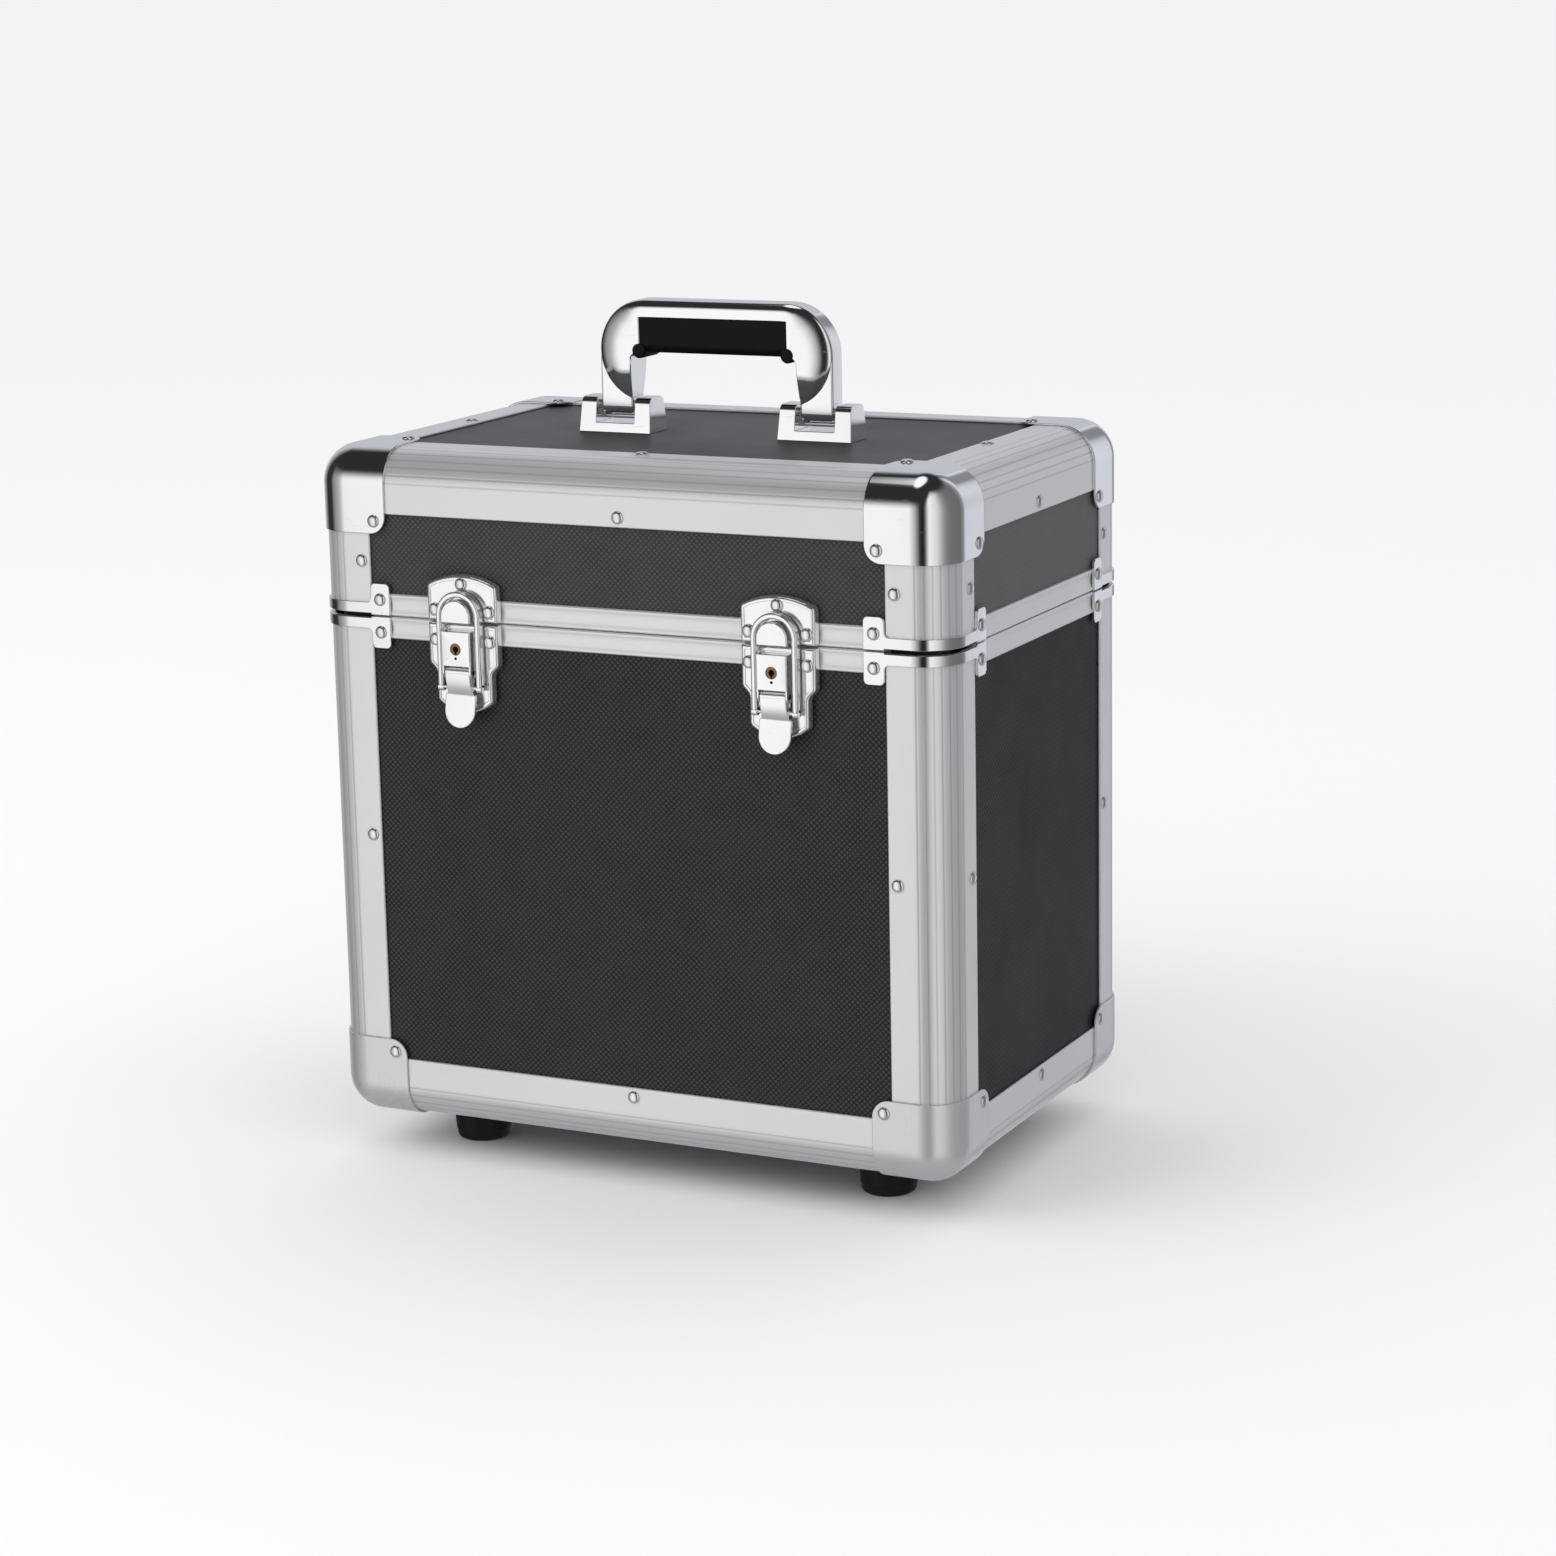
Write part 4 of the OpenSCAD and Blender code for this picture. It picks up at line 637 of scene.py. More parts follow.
chrome = polished("chrome_sheet", (0.91, 0.915, 0.935), 0.06)
satin_cap = satin_metal("satin_cap", 2, (0.73, 0.73, 0.75), 0.27, 0.0004)
for half_name, top, metal, slot in (("lid", True, chrome, "chrome_sheet"),
                                    ("body", False, satin_cap, "satin_cap")):
    for side_y, end_name in ((-1, "front"), (1, "back")):
        for side_x, side_name in sides:
            node = f"{half_name}_cap_{end_name}_{side_name}"
            points, faces = cap_sheet(side_x, side_y, top)
            cap = grid_mesh(f"{node}_sheet", points * MM, faces.tolist())
            shape = bmesh.new()
            shape.from_mesh(cap.data)
            bmesh.ops.remove_doubles(shape, verts=shape.verts, dist=0.001 * MM)
            shape.to_mesh(cap.data)
            shape.free()
            wall = cap.modifiers.new("sheet", "SOLIDIFY")
            wall.thickness, wall.offset, wall.use_even_offset = cap_t * MM, -1, True
            rim = cap.modifiers.new("rim", "BEVEL")
            rim.width, rim.segments, rim.limit_method = cap_rim * MM, 2, "ANGLE"
            rim.angle_limit = math.radians(60)
            finish_piece(cap, metal, half_name, slot, [node])

# ---------------------------------------------------------------- corner clamps
# A chromed strap bent round each corner post beside the split, with a riveted tab at each end that
# laps over the rails.
clamp_t, strap_low, strap_h, tab_low, tab_h, tab_w, tab_r = 1.2, 1.2, 5.5, 0.4, 16.5, 11.0, 2.5
clamp_rim = 0.35


def rounded(corners, steps=6):
    """A closed outline from corners (x, y, radius), anticlockwise: each corner becomes an arc that
    touches both of its sides. Returns its points, their outward normals, how far each can be drawn
    in along its normal before the arc is used up, and the way from there on, along the mitre."""
    corners = np.array(corners, float)
    here, radius = corners[:, :2], corners[:, 2]

    def unit(v):
        """Vectors over their lengths."""
        return v / np.linalg.norm(v, axis=-1, keepdims=True)

    into = unit(here - np.roll(here, 1, 0))
    out = unit(np.roll(here, -1, 0) - here)
    turn = np.arctan2(into[:, 0] * out[:, 1] - into[:, 1] * out[:, 0], (into * out).sum(-1))
    side = np.sign(turn)[:, None]
    left = np.stack([-into[:, 1], into[:, 0]], -1)
    start = here - into * (radius * np.tan(abs(turn) / 2))[:, None]
    centre = start + left * side * radius[:, None]
    angle = turn[:, None] * np.linspace(0, 1, steps)
    arm = (-left * side)[:, None]
    cos, sin = np.cos(angle), np.sin(angle)
    spoke = np.stack([arm[..., 0] * cos - arm[..., 1] * sin,
                      arm[..., 0] * sin + arm[..., 1] * cos], -1)
    points = centre[:, None] + spoke * radius[:, None, None]
    limit = np.where(side[:, 0] > 0, 0.95 * radius, np.inf)
    before, after = into[:, ::-1] * (1, -1), out[:, ::-1] * (1, -1)
    mitre = (before + after) / (1 + (before * after).sum(-1, keepdims=True))
    return (points.reshape(-1, 2), (spoke * side[:, None]).reshape(-1, 2),
            np.repeat(limit, steps)[:, None], np.repeat(mitre, steps, 0))


def rim_profile(low, high, r, steps=5, r_low=0.0):
    """Rows (inset, height) of a slab's rim: rounded by r in front and by r_low behind."""
    rows = []
    if r_low:
        a = np.linspace(0, np.pi / 2, 4)
        rows += list(zip(r_low - r_low * np.sin(a), low + r_low - r_low * np.cos(a)))
    else:
        rows.append((0, low))
    a = np.linspace(0, np.pi / 2, steps)
    return rows + list(zip(r - r * np.cos(a), high - r + r * np.sin(a)))


def plate(outline, profile, place):
    """A flat piece with a shaped rim: the outline drawn in by each row's inset, at its height."""
    points, normals, limit, mitre = outline
    profile = np.array(profile, float)
    inset = profile[:, None, :1]
    flat = points - np.minimum(inset, limit) * normals - np.maximum(inset - limit, 0) * mitre
    height = np.broadcast_to(profile[:, 1:], flat.shape[:2])
    return skin(place(flat[..., 0], flat[..., 1], height))


def rectangle(left, right, low, high, r_low, r_high, steps):
    """The outline of a rectangle, its low and its high corners each rounded by their radius."""
    return rounded([(left, low, r_low), (right, low, r_low),
                    (right, high, r_high), (left, high, r_high)], steps)


def lying(x, y, h):
    """Leaves a flat piece as it was drawn, its front towards +Z."""
    return np.stack([x, y, h], -1)


def cut_across(shell, axis, stations):
    """A shell cut through by planes across an axis, so that it can be bent afterwards."""
    shape = bmesh.new()
    made = [shape.verts.new(p) for p in shell[0]]
    for face in shell[1]:
        shape.faces.new([made[i] for i in face])
    direction = np.eye(3)[axis]
    for station in stations:
        everything = shape.verts[:] + shape.edges[:] + shape.faces[:]
        bmesh.ops.bisect_plane(shape, geom=everything, plane_co=direction * station,
                               plane_no=direction)
    bmesh.ops.triangulate(shape, faces=[f for f in shape.faces if len(f.verts) > 4])
    shape.verts.index_update()
    points = np.array([v.co for v in shape.verts])
    faces = [[v.index for v in f.verts] for f in shape.faces]
    shape.free()
    return points, faces


def round_corner(points):
    """Bends a strip along the corner: x is the distance round it from the middle, z the depth below
    the outside. Flat as far as the quarter arc's ends, and wrapped round it between them."""
    s, height, depth = points.T
    bend = corner_r * np.pi / 4
    angle = np.clip(s, -bend, bend) / corner_r
    past = s - np.clip(s, -bend, bend)
    spin = angle + np.pi / 4
    x = corner_r - (corner_r - depth) * np.cos(spin) + past * np.sin(spin)
    y = corner_r - (corner_r - depth) * np.sin(spin) - past * np.cos(spin)
    return np.stack([x, y, height], -1)


def clamp_shell():
    """Outline of the flat strip: strap, two tabs and the hollow rounds between them."""
    flat_end = flange_w - corner_r + corner_r * np.pi / 4
    end = flat_end + tab_w
    top = strap_low + strap_h
    half_outline = [(end, tab_low, 0.5), (end, tab_h, tab_r), (flat_end, tab_h, tab_r),
                    (flat_end, top, tab_r)]
    outline = [(-x, y, r) for x, y, r in half_outline]
    corners = [(-flat_end, tab_low, 0.3), (-flat_end, strap_low, 0.3), (flat_end, strap_low, 0.3),
               (flat_end, tab_low, 0.3)] + half_outline + outline[::-1]
    rim = [(0, clamp_t)] + [(clamp_rim * (1 - math.cos(a)), clamp_rim * (1 - math.sin(a)))
                            for a in np.linspace(0, np.pi / 2, 4)]
    flat = plate(rounded(corners), rim, lying)
    bend = corner_r * np.pi / 4
    points, faces = cut_across(flat, 0, np.linspace(-bend, bend, 17))
    return round_corner(points), faces


clamp_points, clamp_faces = clamp_shell()
for half_name, sign in (("lid", 1), ("body", -1)):
    clamps = []
    for side_x in (-1, 1):
        for side_y in (-1, 1):
            points = np.stack([side_x * (half_w - clamp_points[:, 0]),
                               side_y * (half_d - clamp_points[:, 1]),
                               split_z + sign * clamp_points[:, 2]], -1)
            clamps.append((points, clamp_faces))
    build(f"{half_name}_clamps", clamps, chrome, half_name, "chrome_sheet",
          f"{half_name}_corner_clamps")

# ---------------------------------------------------------------- rivets
# Tubular rivets with low domed heads, bright steel. They hold profiles, caps, clamps, latches and
# hinges to the boards.
head_r, head_h, edge_in, cap_in, clamp_in = 3.3, 1.4, 28.5, 37.0, 39.0
clamp_up, lid_post_up, body_post_down = 8.3, 27.5, 113.8
latch_x, latch_side, plate_h = 87.0, 15.5, 4.0
latch_rows = {"lid": (6.1, 19.4), "body": (9.0, 40.0)}
hinge_x, hinge_side, hinge_row, leaf_t = 95.0, 16.0, 17.0, 1.5
spin = np.linspace(0, 2 * np.pi, 25)[:-1]


def revolve(profile, place, angles=spin):
    """A profile of rows (radius, height) turned about an axis; place puts it into the frame."""
    radius, height = np.array(profile, float).T
    across = radius[:, None] * np.cos(angles)
    along = radius[:, None] * np.sin(angles)
    return skin(place(across, along, np.broadcast_to(height[:, None], across.shape)))


def rod(radius, start, end, place, angles=spin):
    """A turned rod from start to end, its ends chamfered."""
    chamfer = 0.3
    return revolve([(radius - chamfer, start), (radius, start + chamfer), (radius, end - chamfer),
                    (radius - chamfer, end)], place, angles)


def on_wall(side, s, z, depth=0.0):
    """Puts (across, along, height) on a wall at s and z, height pointing out of the case."""
    def place(a, b, h):
        """Across and up along the wall, and out from its plane less the depth."""
        out = h - depth
        if side in ("front", "back"):
            sign = -1 if side == "front" else 1
            return np.stack([s + a, sign * (half_d + out), z + b], -1)
        if side in ("left", "right"):
            sign = -1 if side == "left" else 1
            return np.stack([sign * (half_w + out), s + a, z + b], -1)
        if side == "top":
            return np.stack([s + a, z + b, top_z + out], -1)
        return np.stack([s + a, z + b, base_z - out], -1)
    return place


# The head is nearly flat in the middle and falls off steeply at its edge.
head = [(head_r - 0.1, -0.6), (head_r, 0.05)]
head += [(head_r * share, head_h * math.sqrt(1 - share ** 3))
         for share in (0.99, 0.965, 0.92, 0.85, 0.75, 0.6, 0.42, 0.22, 0.05)]
rivet_steel = polished("rivet_steel", (0.84, 0.84, 0.86), 0.12, 0.003, 0.95)
for half_name, sign, plane in (("lid", 1, top_z), ("body", -1, base_z)):
    inward = -sign
    rivets = []
    post_z = split_z + lid_post_up if half_name == "lid" else split_z - body_post_down
    for side, half_len in (("front", half_w), ("back", half_w),
                           ("left", half_d), ("right", half_d)):
        rivets.append((side, 0, plane + inward * edge_in, skin_in))
        for s in (-1, 1):
            rivets.append((side, s * (half_len - edge_in), post_z, skin_in))
            rivets.append((side, s * (half_len - cap_in), plane + inward * cap_in, 0))
            rivets.append((side, s * (half_len - clamp_in), split_z + sign * clamp_up, 0))
    flat_side = "top" if half_name == "lid" else "bottom"
    for s in (-1, 1):
        rivets.append((flat_side, 0, s * (half_d - edge_in), skin_in))
        rivets.append((flat_side, s * (half_w - edge_in), 0, skin_in))
        for t in (-1, 1):
            rivets.append((flat_side, s * (half_w - cap_in), t * (half_d - cap_in), 0))
            rivets.append(("back", s * hinge_x + t * hinge_side, split_z + sign * hinge_row,
                           skin_in - leaf_t))
            rivets.append(("front", s * latch_x + t * latch_side,
                           split_z + sign * latch_rows[half_name][0], skin_in - plate_h))
        rivets.append(("front", s * latch_x, split_z + sign * latch_rows[half_name][1],
                       skin_in - plate_h))
    build(f"{half_name}_rivet_heads", [revolve(head, on_wall(*r)) for r in rivets], rivet_steel,
          half_name, "rivet_steel", f"{half_name}_rivets")

# ---------------------------------------------------------------- latches
# Draw latches in chromed steel: a pressed catch plate with a D-shaped boss on the lid, and on the
# body a pressed base plate with a lock housing, a lever with a pull tab, and the loop that the
# lever draws down over the boss.
plate_w, plate_gap, catch_up, arch_r = 40.0, 0.4, 24.0, 42.5
base_down, tail_w, tail_r, shoulder = 46.0, 32.0, 24.0, (21.0, 25.0)
boss_r, boss_low, boss_mid, boss_top = 8.25, 0.8, 4.1, 11.0
house_w, house_span, house_top, plug_r, ear_r, ear_t = 16.1, (-20.8, -3.3), 11.5, 3.0, 3.0, 0.8
loop_mid_r, loop_bar, loop_f, loop_depth, loop_pin_z, loop_eye_r = 10.85, 3.1, 7.0, 4.0, -32.0, 2.2
lever_z, lever_f, barrel_r, lever_half, lever_t, pull_half = -24.0, 8.2, 2.5, 7.0, 1.5, 8.65
lever_len, fold_at, fold_in, stud_r, stud_end = 28, 11.7, 2.7, 1.0, 12.45
rail_front = half_d - skin_in
latch_metal = polished("latch_chrome", (0.92, 0.92, 0.93), 0.13, 0.003, 0.92)
# Rows (inset, height) of a pressed edge: round outside, then a shallow step down to the flat.
pressed = [(0.0, 0.0), (0.25, plate_h - 1.4), (0.45, plate_h - 0.7), (0.9, plate_h - 0.2),
           (1.5, plate_h), (2.3, plate_h), (2.55, plate_h - 0.28), (2.8, plate_h - 0.3),
           (3.8, plate_h - 0.3)]


def on_latch(side):
    """Puts (across, up, in front) on the rails at a latch."""
    return lambda x, y, h: np.stack([side * latch_x + x, -rail_front - h, split_z + y], -1)


def crosswise(place, y=0, front=0, side=1, x=0):
    """Lays a piece across the latch: its height runs along X from x towards a side, and its own x
    runs forwards."""
    return lambda a, b, h: place(x + side * h, y + b, front + a)


def round_end(half_width, reach, r, side_r, count):
    """Corners of a plate's round upper end: short sides of an arc between two side corners."""
    side_z = reach - r + math.sqrt(r ** 2 - half_width ** 2)
    span = math.degrees(math.asin(half_width / r))
    crown = arc((0, reach - r), r, 90 - span, 90 + span, count)[1:-1]
    return ([(half_width, side_z, side_r)] + [(x, y, 6.0) for x, y in crown]
            + [(-half_width, side_z, side_r)])


def symmetric(half):
    """A symmetric outline's corners from those of its right half, beginning at the low left."""
    left = [(-x, y, r) for x, y, r in half[::-1]]
    return left[-1:] + half + left[:-1]


def catch_plate(place):
    """The lid's plate with its round upper end, and on it the boss: a rectangle with a half round
    upper end."""
    wide = plate_w / 2
    corners = ([(-wide, plate_gap, 0.6), (wide, plate_gap, 0.6)]
               + round_end(wide, catch_up, arch_r, 2.6, 9))
    boss = rectangle(-boss_r, boss_r, boss_low, boss_mid + boss_r, 0.8, boss_r - 0.05, 14)
    return [plate(rounded(corners, 4), pressed, place),
            plate(boss, rim_profile(plate_h - 0.5, boss_top, 0.7), place)]


def base_plate(place):
    """The body's plate: narrower below its shoulders, and a round end at its foot."""
    wide, narrow = plate_w / 2, tail_w / 2
    foot = [(-x, -y, r) for x, y, r in round_end(narrow, base_down, tail_r, 2.8, 7)]
    right_edge = [(narrow, -shoulder[1], 4.0), (wide, -shoulder[0], 3.0), (wide, -plate_gap, 0.6)]
    left_edge = [(-x, y, r) for x, y, r in right_edge[::-1]]
    return plate(rounded(foot + right_edge + left_edge, 4), pressed, place)


def lock_housing(place):
    """A block with a bore for the plug. Its loops have their points at the same angles, where they
    reach the sides of a rectangle or the radius of the bore."""
    half_x, half_y = house_w / 2, (house_span[1] - house_span[0]) / 2
    compass = np.radians(np.arange(0, 360, 5) + 2.5)
    way = np.stack([np.cos(compass), np.sin(compass)], -1)
    wall = np.minimum(half_x / abs(way[:, :1]), half_y / abs(way[:, 1:])) * way
    bore = (plug_r + 0.08) * way
    rows = [(wall, plate_h - 0.5), (wall, house_top - 0.6), (0.985 * wall, house_top - 0.18),
            (0.93 * wall, house_top), (bore, house_top), (bore, plate_h)]
    x, y = np.array([loop for loop, _ in rows]).transpose(2, 0, 1)
    height = np.broadcast_to(np.array([[h] for _, h in rows]), x.shape)
    return skin(place(x, y + (house_span[0] + house_span[1]) / 2, height))


def lever_ears(place):
    """The base plate's two ears, which stand up beside the lever and hold its pin."""
    ear = rectangle(lever_f - ear_r, lever_f + ear_r, lever_z - ear_r, house_span[0] + 1,
                    ear_r - 0.1, 0.4, 8)
    rim = rim_profile(house_w / 2 - ear_t, house_w / 2, 0.15, 3)
    return [plate(ear, rim, crosswise(place, side=s)) for s in (-1, 1)]


def draw_loop(place):
    """The loop's bar: its section follows two straight legs and the half circle between them. An
    eye is turned round each end."""
    bow = np.radians(np.linspace(0, 180, 33))
    arch = np.stack([np.cos(bow), np.sin(bow)], -1)
    route = np.concatenate([[[loop_mid_r, loop_pin_z]], loop_mid_r * arch + (0, boss_mid),
                            [[-loop_mid_r, loop_pin_z]]])
    outward = np.concatenate([[[1, 0]], arch, [[-1, 0]]])
    half_x, half_y = loop_bar / 2, loop_depth / 2
    bar_section = rectangle(-half_x, half_x, -half_y, half_y, 0.5, 1.1, 5)[0]
    across = route[:, None] + outward[:, None] * bar_section[None, :, :1]
    depth = np.broadcast_to(loop_f + bar_section[:, 1], across.shape[:2])
    eyes = [rod(loop_eye_r, -half_x, half_x,
                crosswise(place, loop_pin_z, loop_f, x=s * loop_mid_r)) for s in (-1, 1)]
    return [skin(place(across[..., 0], across[..., 1], depth))] + eyes


def lever_sheet(place):
    """The lever's sheet, drawn flat, cut across and bent to its side view: by the square of the
    distance it sweeps inwards as far as the fold, and its tab runs out again in a straight line."""
    end_z, neck = lever_z - lever_len, loop_pin_z - 3.7
    outline = rounded(symmetric([(pull_half, end_z, pull_half - 0.05), (pull_half, neck, 1.0),
                                 (lever_half, neck + 1.2, 0.4), (lever_half, lever_z, 0.3)]), 10)
    flat = plate(outline, rim_profile(-lever_t, 0, 0.45, 4, 0.3), lying)
    cuts = np.concatenate([np.linspace(end_z + 1, lever_z - fold_at - 0.4, 8),
                           np.linspace(lever_z - fold_at, lever_z - 0.5, 16)])
    points, faces = cut_across(flat, 1, cuts)
    drop = lever_z - points[:, 1]
    bend = np.where(drop < fold_at, fold_in * (drop / fold_at) ** 2,
                    fold_in - (drop - fold_at) * fold_in / (lever_len - fold_at))
    return place(points[:, 0], points[:, 1], lever_f + barrel_r - bend + points[:, 2]), faces


def lever_sides(place):
    """The barrel round the lever's pin, and at each side a cheek with the stud of the loop."""
    cheek = rounded([(5.5, loop_pin_z - 1.6, 1.5), (8.2, loop_pin_z - 1.6, 1.2),
                     (9.6, lever_z, 0.4), (5.7, lever_z, 0.4)], 5)
    rim = rim_profile(lever_half - lever_t, lever_half, 0.2, 3)
    stud = [(stud_r - 0.1, lever_half - 1), (stud_r, lever_half), (stud_r, stud_end - 0.25),
            (stud_r - 0.2, stud_end)]
    shells = [rod(barrel_r, -lever_half, lever_half, crosswise(place, lever_z, lever_f))]
    for s in (-1, 1):
        shells.append(plate(cheek, rim, crosswise(place, side=s)))
        shells.append(revolve(stud, crosswise(place, loop_pin_z, loop_f, s)))
    return shells


for side, side_name in sides:
    place = on_latch(side)
    build(f"catch_plate_{side_name}_pressed", catch_plate(place), latch_metal, "lid",
          "latch_chrome", f"catch_plate_{side_name}")
    build(f"latch_base_{side_name}_pressed",
          [base_plate(place), lock_housing(place)] + lever_ears(place), latch_metal, "body",
          "latch_chrome", f"latch_base_{side_name}")
    build(f"latch_loop_{side_name}_bar", draw_loop(place), latch_metal, f"loop_{side_name}",
          "latch_chrome", f"latch_loop_{side_name}")
    build(f"latch_lever_{side_name}_sheet", [lever_sheet(place)] + lever_sides(place), latch_metal,
          f"lever_{side_name}", "latch_chrome", f"latch_lever_{side_name}")

# ---------------------------------------------------------------- lock plugs
# Brass key plugs, turned, one in each lock housing. Each has a round and slotted keyhole in its
# face and makes a quarter turn.
plug_z, plug_face, key_r, key_slot, key_drop, key_depth = -12.05, 11.3, 1.5, 0.55, 2.5, 2.5
lock_pin_drop, lock_pin_r = 4.6, 0.75
plug_spin = np.linspace(0, 2 * np.pi, 49)[:-1]
brass = satin_metal("plug_brass", None, (0.30, 0.155, 0.075), 0.34, 0.01, fast=3000)
# Painted shade: a near-black material for the inside of the keyhole.
key_shadow, tree, shader, place_in = new_material("keyhole_painted_shade", 0.8)
tree.links.new(blend_colours(tree, noise(tree, place_in, 900), (0.004, 0.003, 0.003),
                             (0.02, 0.014, 0.01)), shader.inputs["Base Color"])


def plug_shell(place):
    """The plug's face and its keyhole, as loops with their points at the same angles. The keyhole
    is a circle that reaches out to the slot's width and end below."""
    cos, sin = np.cos(plug_spin), np.sin(plug_spin)
    below = (sin < 0) & (abs(cos) * key_drop < key_slot * 1.6)
    slot_reach = np.minimum(key_drop, key_slot / np.maximum(abs(cos), 0.17))
    hole = np.where(below, np.maximum(slot_reach, key_r), key_r)
    rows = [(plug_r, plate_h + 1), (plug_r, plug_face - 0.05), (plug_r - 0.2, plug_face + 0.1),
            (hole + 0.15, plug_face + 0.1), (hole, plug_face), (hole, plug_face - key_depth)]
    radius = np.array([np.broadcast_to(r, plug_spin.shape) for r, _ in rows])
    height = np.broadcast_to(np.array([[h] for _, h in rows]), radius.shape)
    return skin(place(radius * cos, plug_z + radius * sin, height))


for side, side_name in sides:
    place = on_latch(side)
    piece = build(f"lock_plug_{side_name}_face", [plug_shell(place)], brass, f"plug_{side_name}",
                  "plug_brass", f"lock_plug_{side_name}")
    # The keyhole is dark with painted shade: its wall is the last ring of faces, its floor the last
    # face.
    piece.data.materials.append(key_shadow)
    dark = np.zeros(len(piece.data.polygons), np.int32)
    dark[4 * len(plug_spin):5 * len(plug_spin)] = 1
    dark[-1] = 1
    piece.data.polygons.foreach_set("material_index", dark)
    # Below the plug, the end of the pin that holds the lock in its housing, dark with the keyhole's
    # painted shade.
    pin_rows = [(lock_pin_r, house_top - 0.5), (lock_pin_r, house_top + 0.02),
                (0.1, house_top + 0.04)]
    lock_pin = revolve(pin_rows, lambda a, b, h: place(a, plug_z - lock_pin_drop + b, h))
    build(f"lock_pin_{side_name}", [lock_pin], key_shadow, "body", "plug_brass")

# ---------------------------------------------------------------- handle
# A die-cast chromed bow: two flat legs, and between them a thicker round-ended bow, crowned towards
# its outer edge. A moulded grip is let into the bow from below.
handle_half, bow_r, leg_w, leg_half, bow_half = 65.5, 26.0, 18.0, 6.0, 9.0
crown_w, edge_r = 15.0, 1.0
handle_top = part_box("handle_frame")[1].z / MM
pivot_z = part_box("handle_frame")[0].z / MM + leg_half
grip_half, grip_low, grip_high = 41.5, handle_top - 27, handle_top - 9
open_low, open_high = handle_half - leg_w, handle_half - leg_w - 1
open_cut, open_rise = 5.0, 3.0
corner_z = grip_low + open_rise - open_cut
bow_mid, full_z = handle_top - bow_r, pivot_z + 22


def upright(x, z, h):
    """Stands a piece that was drawn flat upright, its front towards -Y."""
    return np.stack([x, -h, z], -1)


def bow_edges():
    """Matching points on the bow's outer edge and on its opening's edge, right half from the tip
    up: level with each other on the leg, then from the arc to the corner, the grip's end and its
    top. The tip is where the bow meets the leg's inner side."""
    middle = handle_half - bow_r
    tip_z = bow_mid - math.sqrt(bow_r ** 2 - (open_low - middle) ** 2)
    rise = np.linspace(tip_z, corner_z, 14)
    leg_outer = np.stack([middle + np.sqrt(bow_r ** 2 - (rise - bow_mid) ** 2), rise], -1)
    leg_inner = np.stack([np.linspace(open_low, open_high, 14), rise], -1)
    first = math.degrees(math.asin((corner_z - bow_mid) / bow_r))
    turn_outer = arc((middle, bow_mid), bow_r, first, 90, 21)[1:]
    corner = [(open_high, corner_z), (open_high - open_cut, corner_z + open_cut),
              (grip_half, grip_high), (grip_half - 4, grip_high)]
    turn_inner = np.concatenate([np.linspace(a, b, n + 1)[1:] for a, b, n in
                                 zip(corner[:-1], corner[1:], (6, 9, 5))])
    top_outer = np.stack([np.linspace(middle, 0, 5)[1:], np.full(4, handle_top)], -1)
    top_inner = np.stack([np.linspace(grip_half - 4, 0, 5)[1:], np.full(4, grip_high)], -1)
    return (np.concatenate([leg_outer, turn_outer, top_outer]),
            np.concatenate([leg_inner, turn_inner, top_inner]), tip_z)


def bow_shell():
    """The bow as sections from its outer edge to its opening: a rounded edge that runs into a cubic
    crown, the front face and a small lip. It thins out towards the tips, where it meets the legs."""
    outer, inner, tip_z = bow_edges()
    outer, inner = (np.concatenate([edge, edge[-2::-1] * (-1, 1)]) for edge in (outer, inner))
    length = np.linalg.norm(inner - outer, axis=-1)
    around = np.convolve(np.pad(length, 4, "edge"), np.full(9, 1 / 9), "valid")
    fullness = 1 - np.clip((full_z - outer[:, 1]) / (full_z - tip_z), 0, 0.99) ** 1.5
    thick = leg_half + (bow_half - leg_half) * fullness
    crown_reach = np.maximum(0.45 * length, np.minimum(crown_w, 1.15 * around - 4.8))
    crown_reach = np.minimum(crown_reach, 0.85 * length)
    edge = np.minimum(edge_r, 0.3 * crown_reach)
    lip = np.minimum(0.5, 0.2 * length)
    steps = []
    for share in [0, 0.006, 0.02, 0.045, 0.08, *np.linspace(0.13, 1, 11)]:
        rounding = edge * np.sqrt(1 - np.clip(1 - crown_reach * share / edge, 0, 1) ** 2)
        crown = (thick - leg_half) * (1 - (1 - share) ** 3)
        steps.append((crown_reach * share, leg_half - edge + rounding + crown))
    steps += [(length - lip, thick), (length, thick - lip)]
    drawn_in = np.array([inset for inset, _ in steps] + [inset for inset, _ in steps[::-1]])
    depth = np.array([-y for _, y in steps] + [y for _, y in steps[::-1]])
    along = (inner - outer) / np.maximum(length, 1e-6)[:, None]
    flat = outer[:, None] + along[:, None] * drawn_in.T[..., None]
    return skin(upright(flat[..., 0], flat[..., 1], depth.T))


def leg_shell(middle):
    """A flat leg from its foot, which is round about the pin, up to the middle of the bow."""
    foot = [(pivot_z + leg_half * math.sin(a), leg_half * math.cos(a))
            for a in np.linspace(-math.pi / 2, 0, 9)[1:]]
    loops = []
    for z, half_y in [(pivot_z - 0.99 * leg_half, 0.12 * leg_half), *foot, (bow_mid, leg_half)]:
        r = min(1.0, half_y * 0.45)
        x, y = rectangle(-leg_w / 2, leg_w / 2, -half_y, half_y, r, r, 4)[0].T
        loops.append(np.stack([middle + x, y, np.full(len(x), z)], -1))
    return skin(np.array(loops))


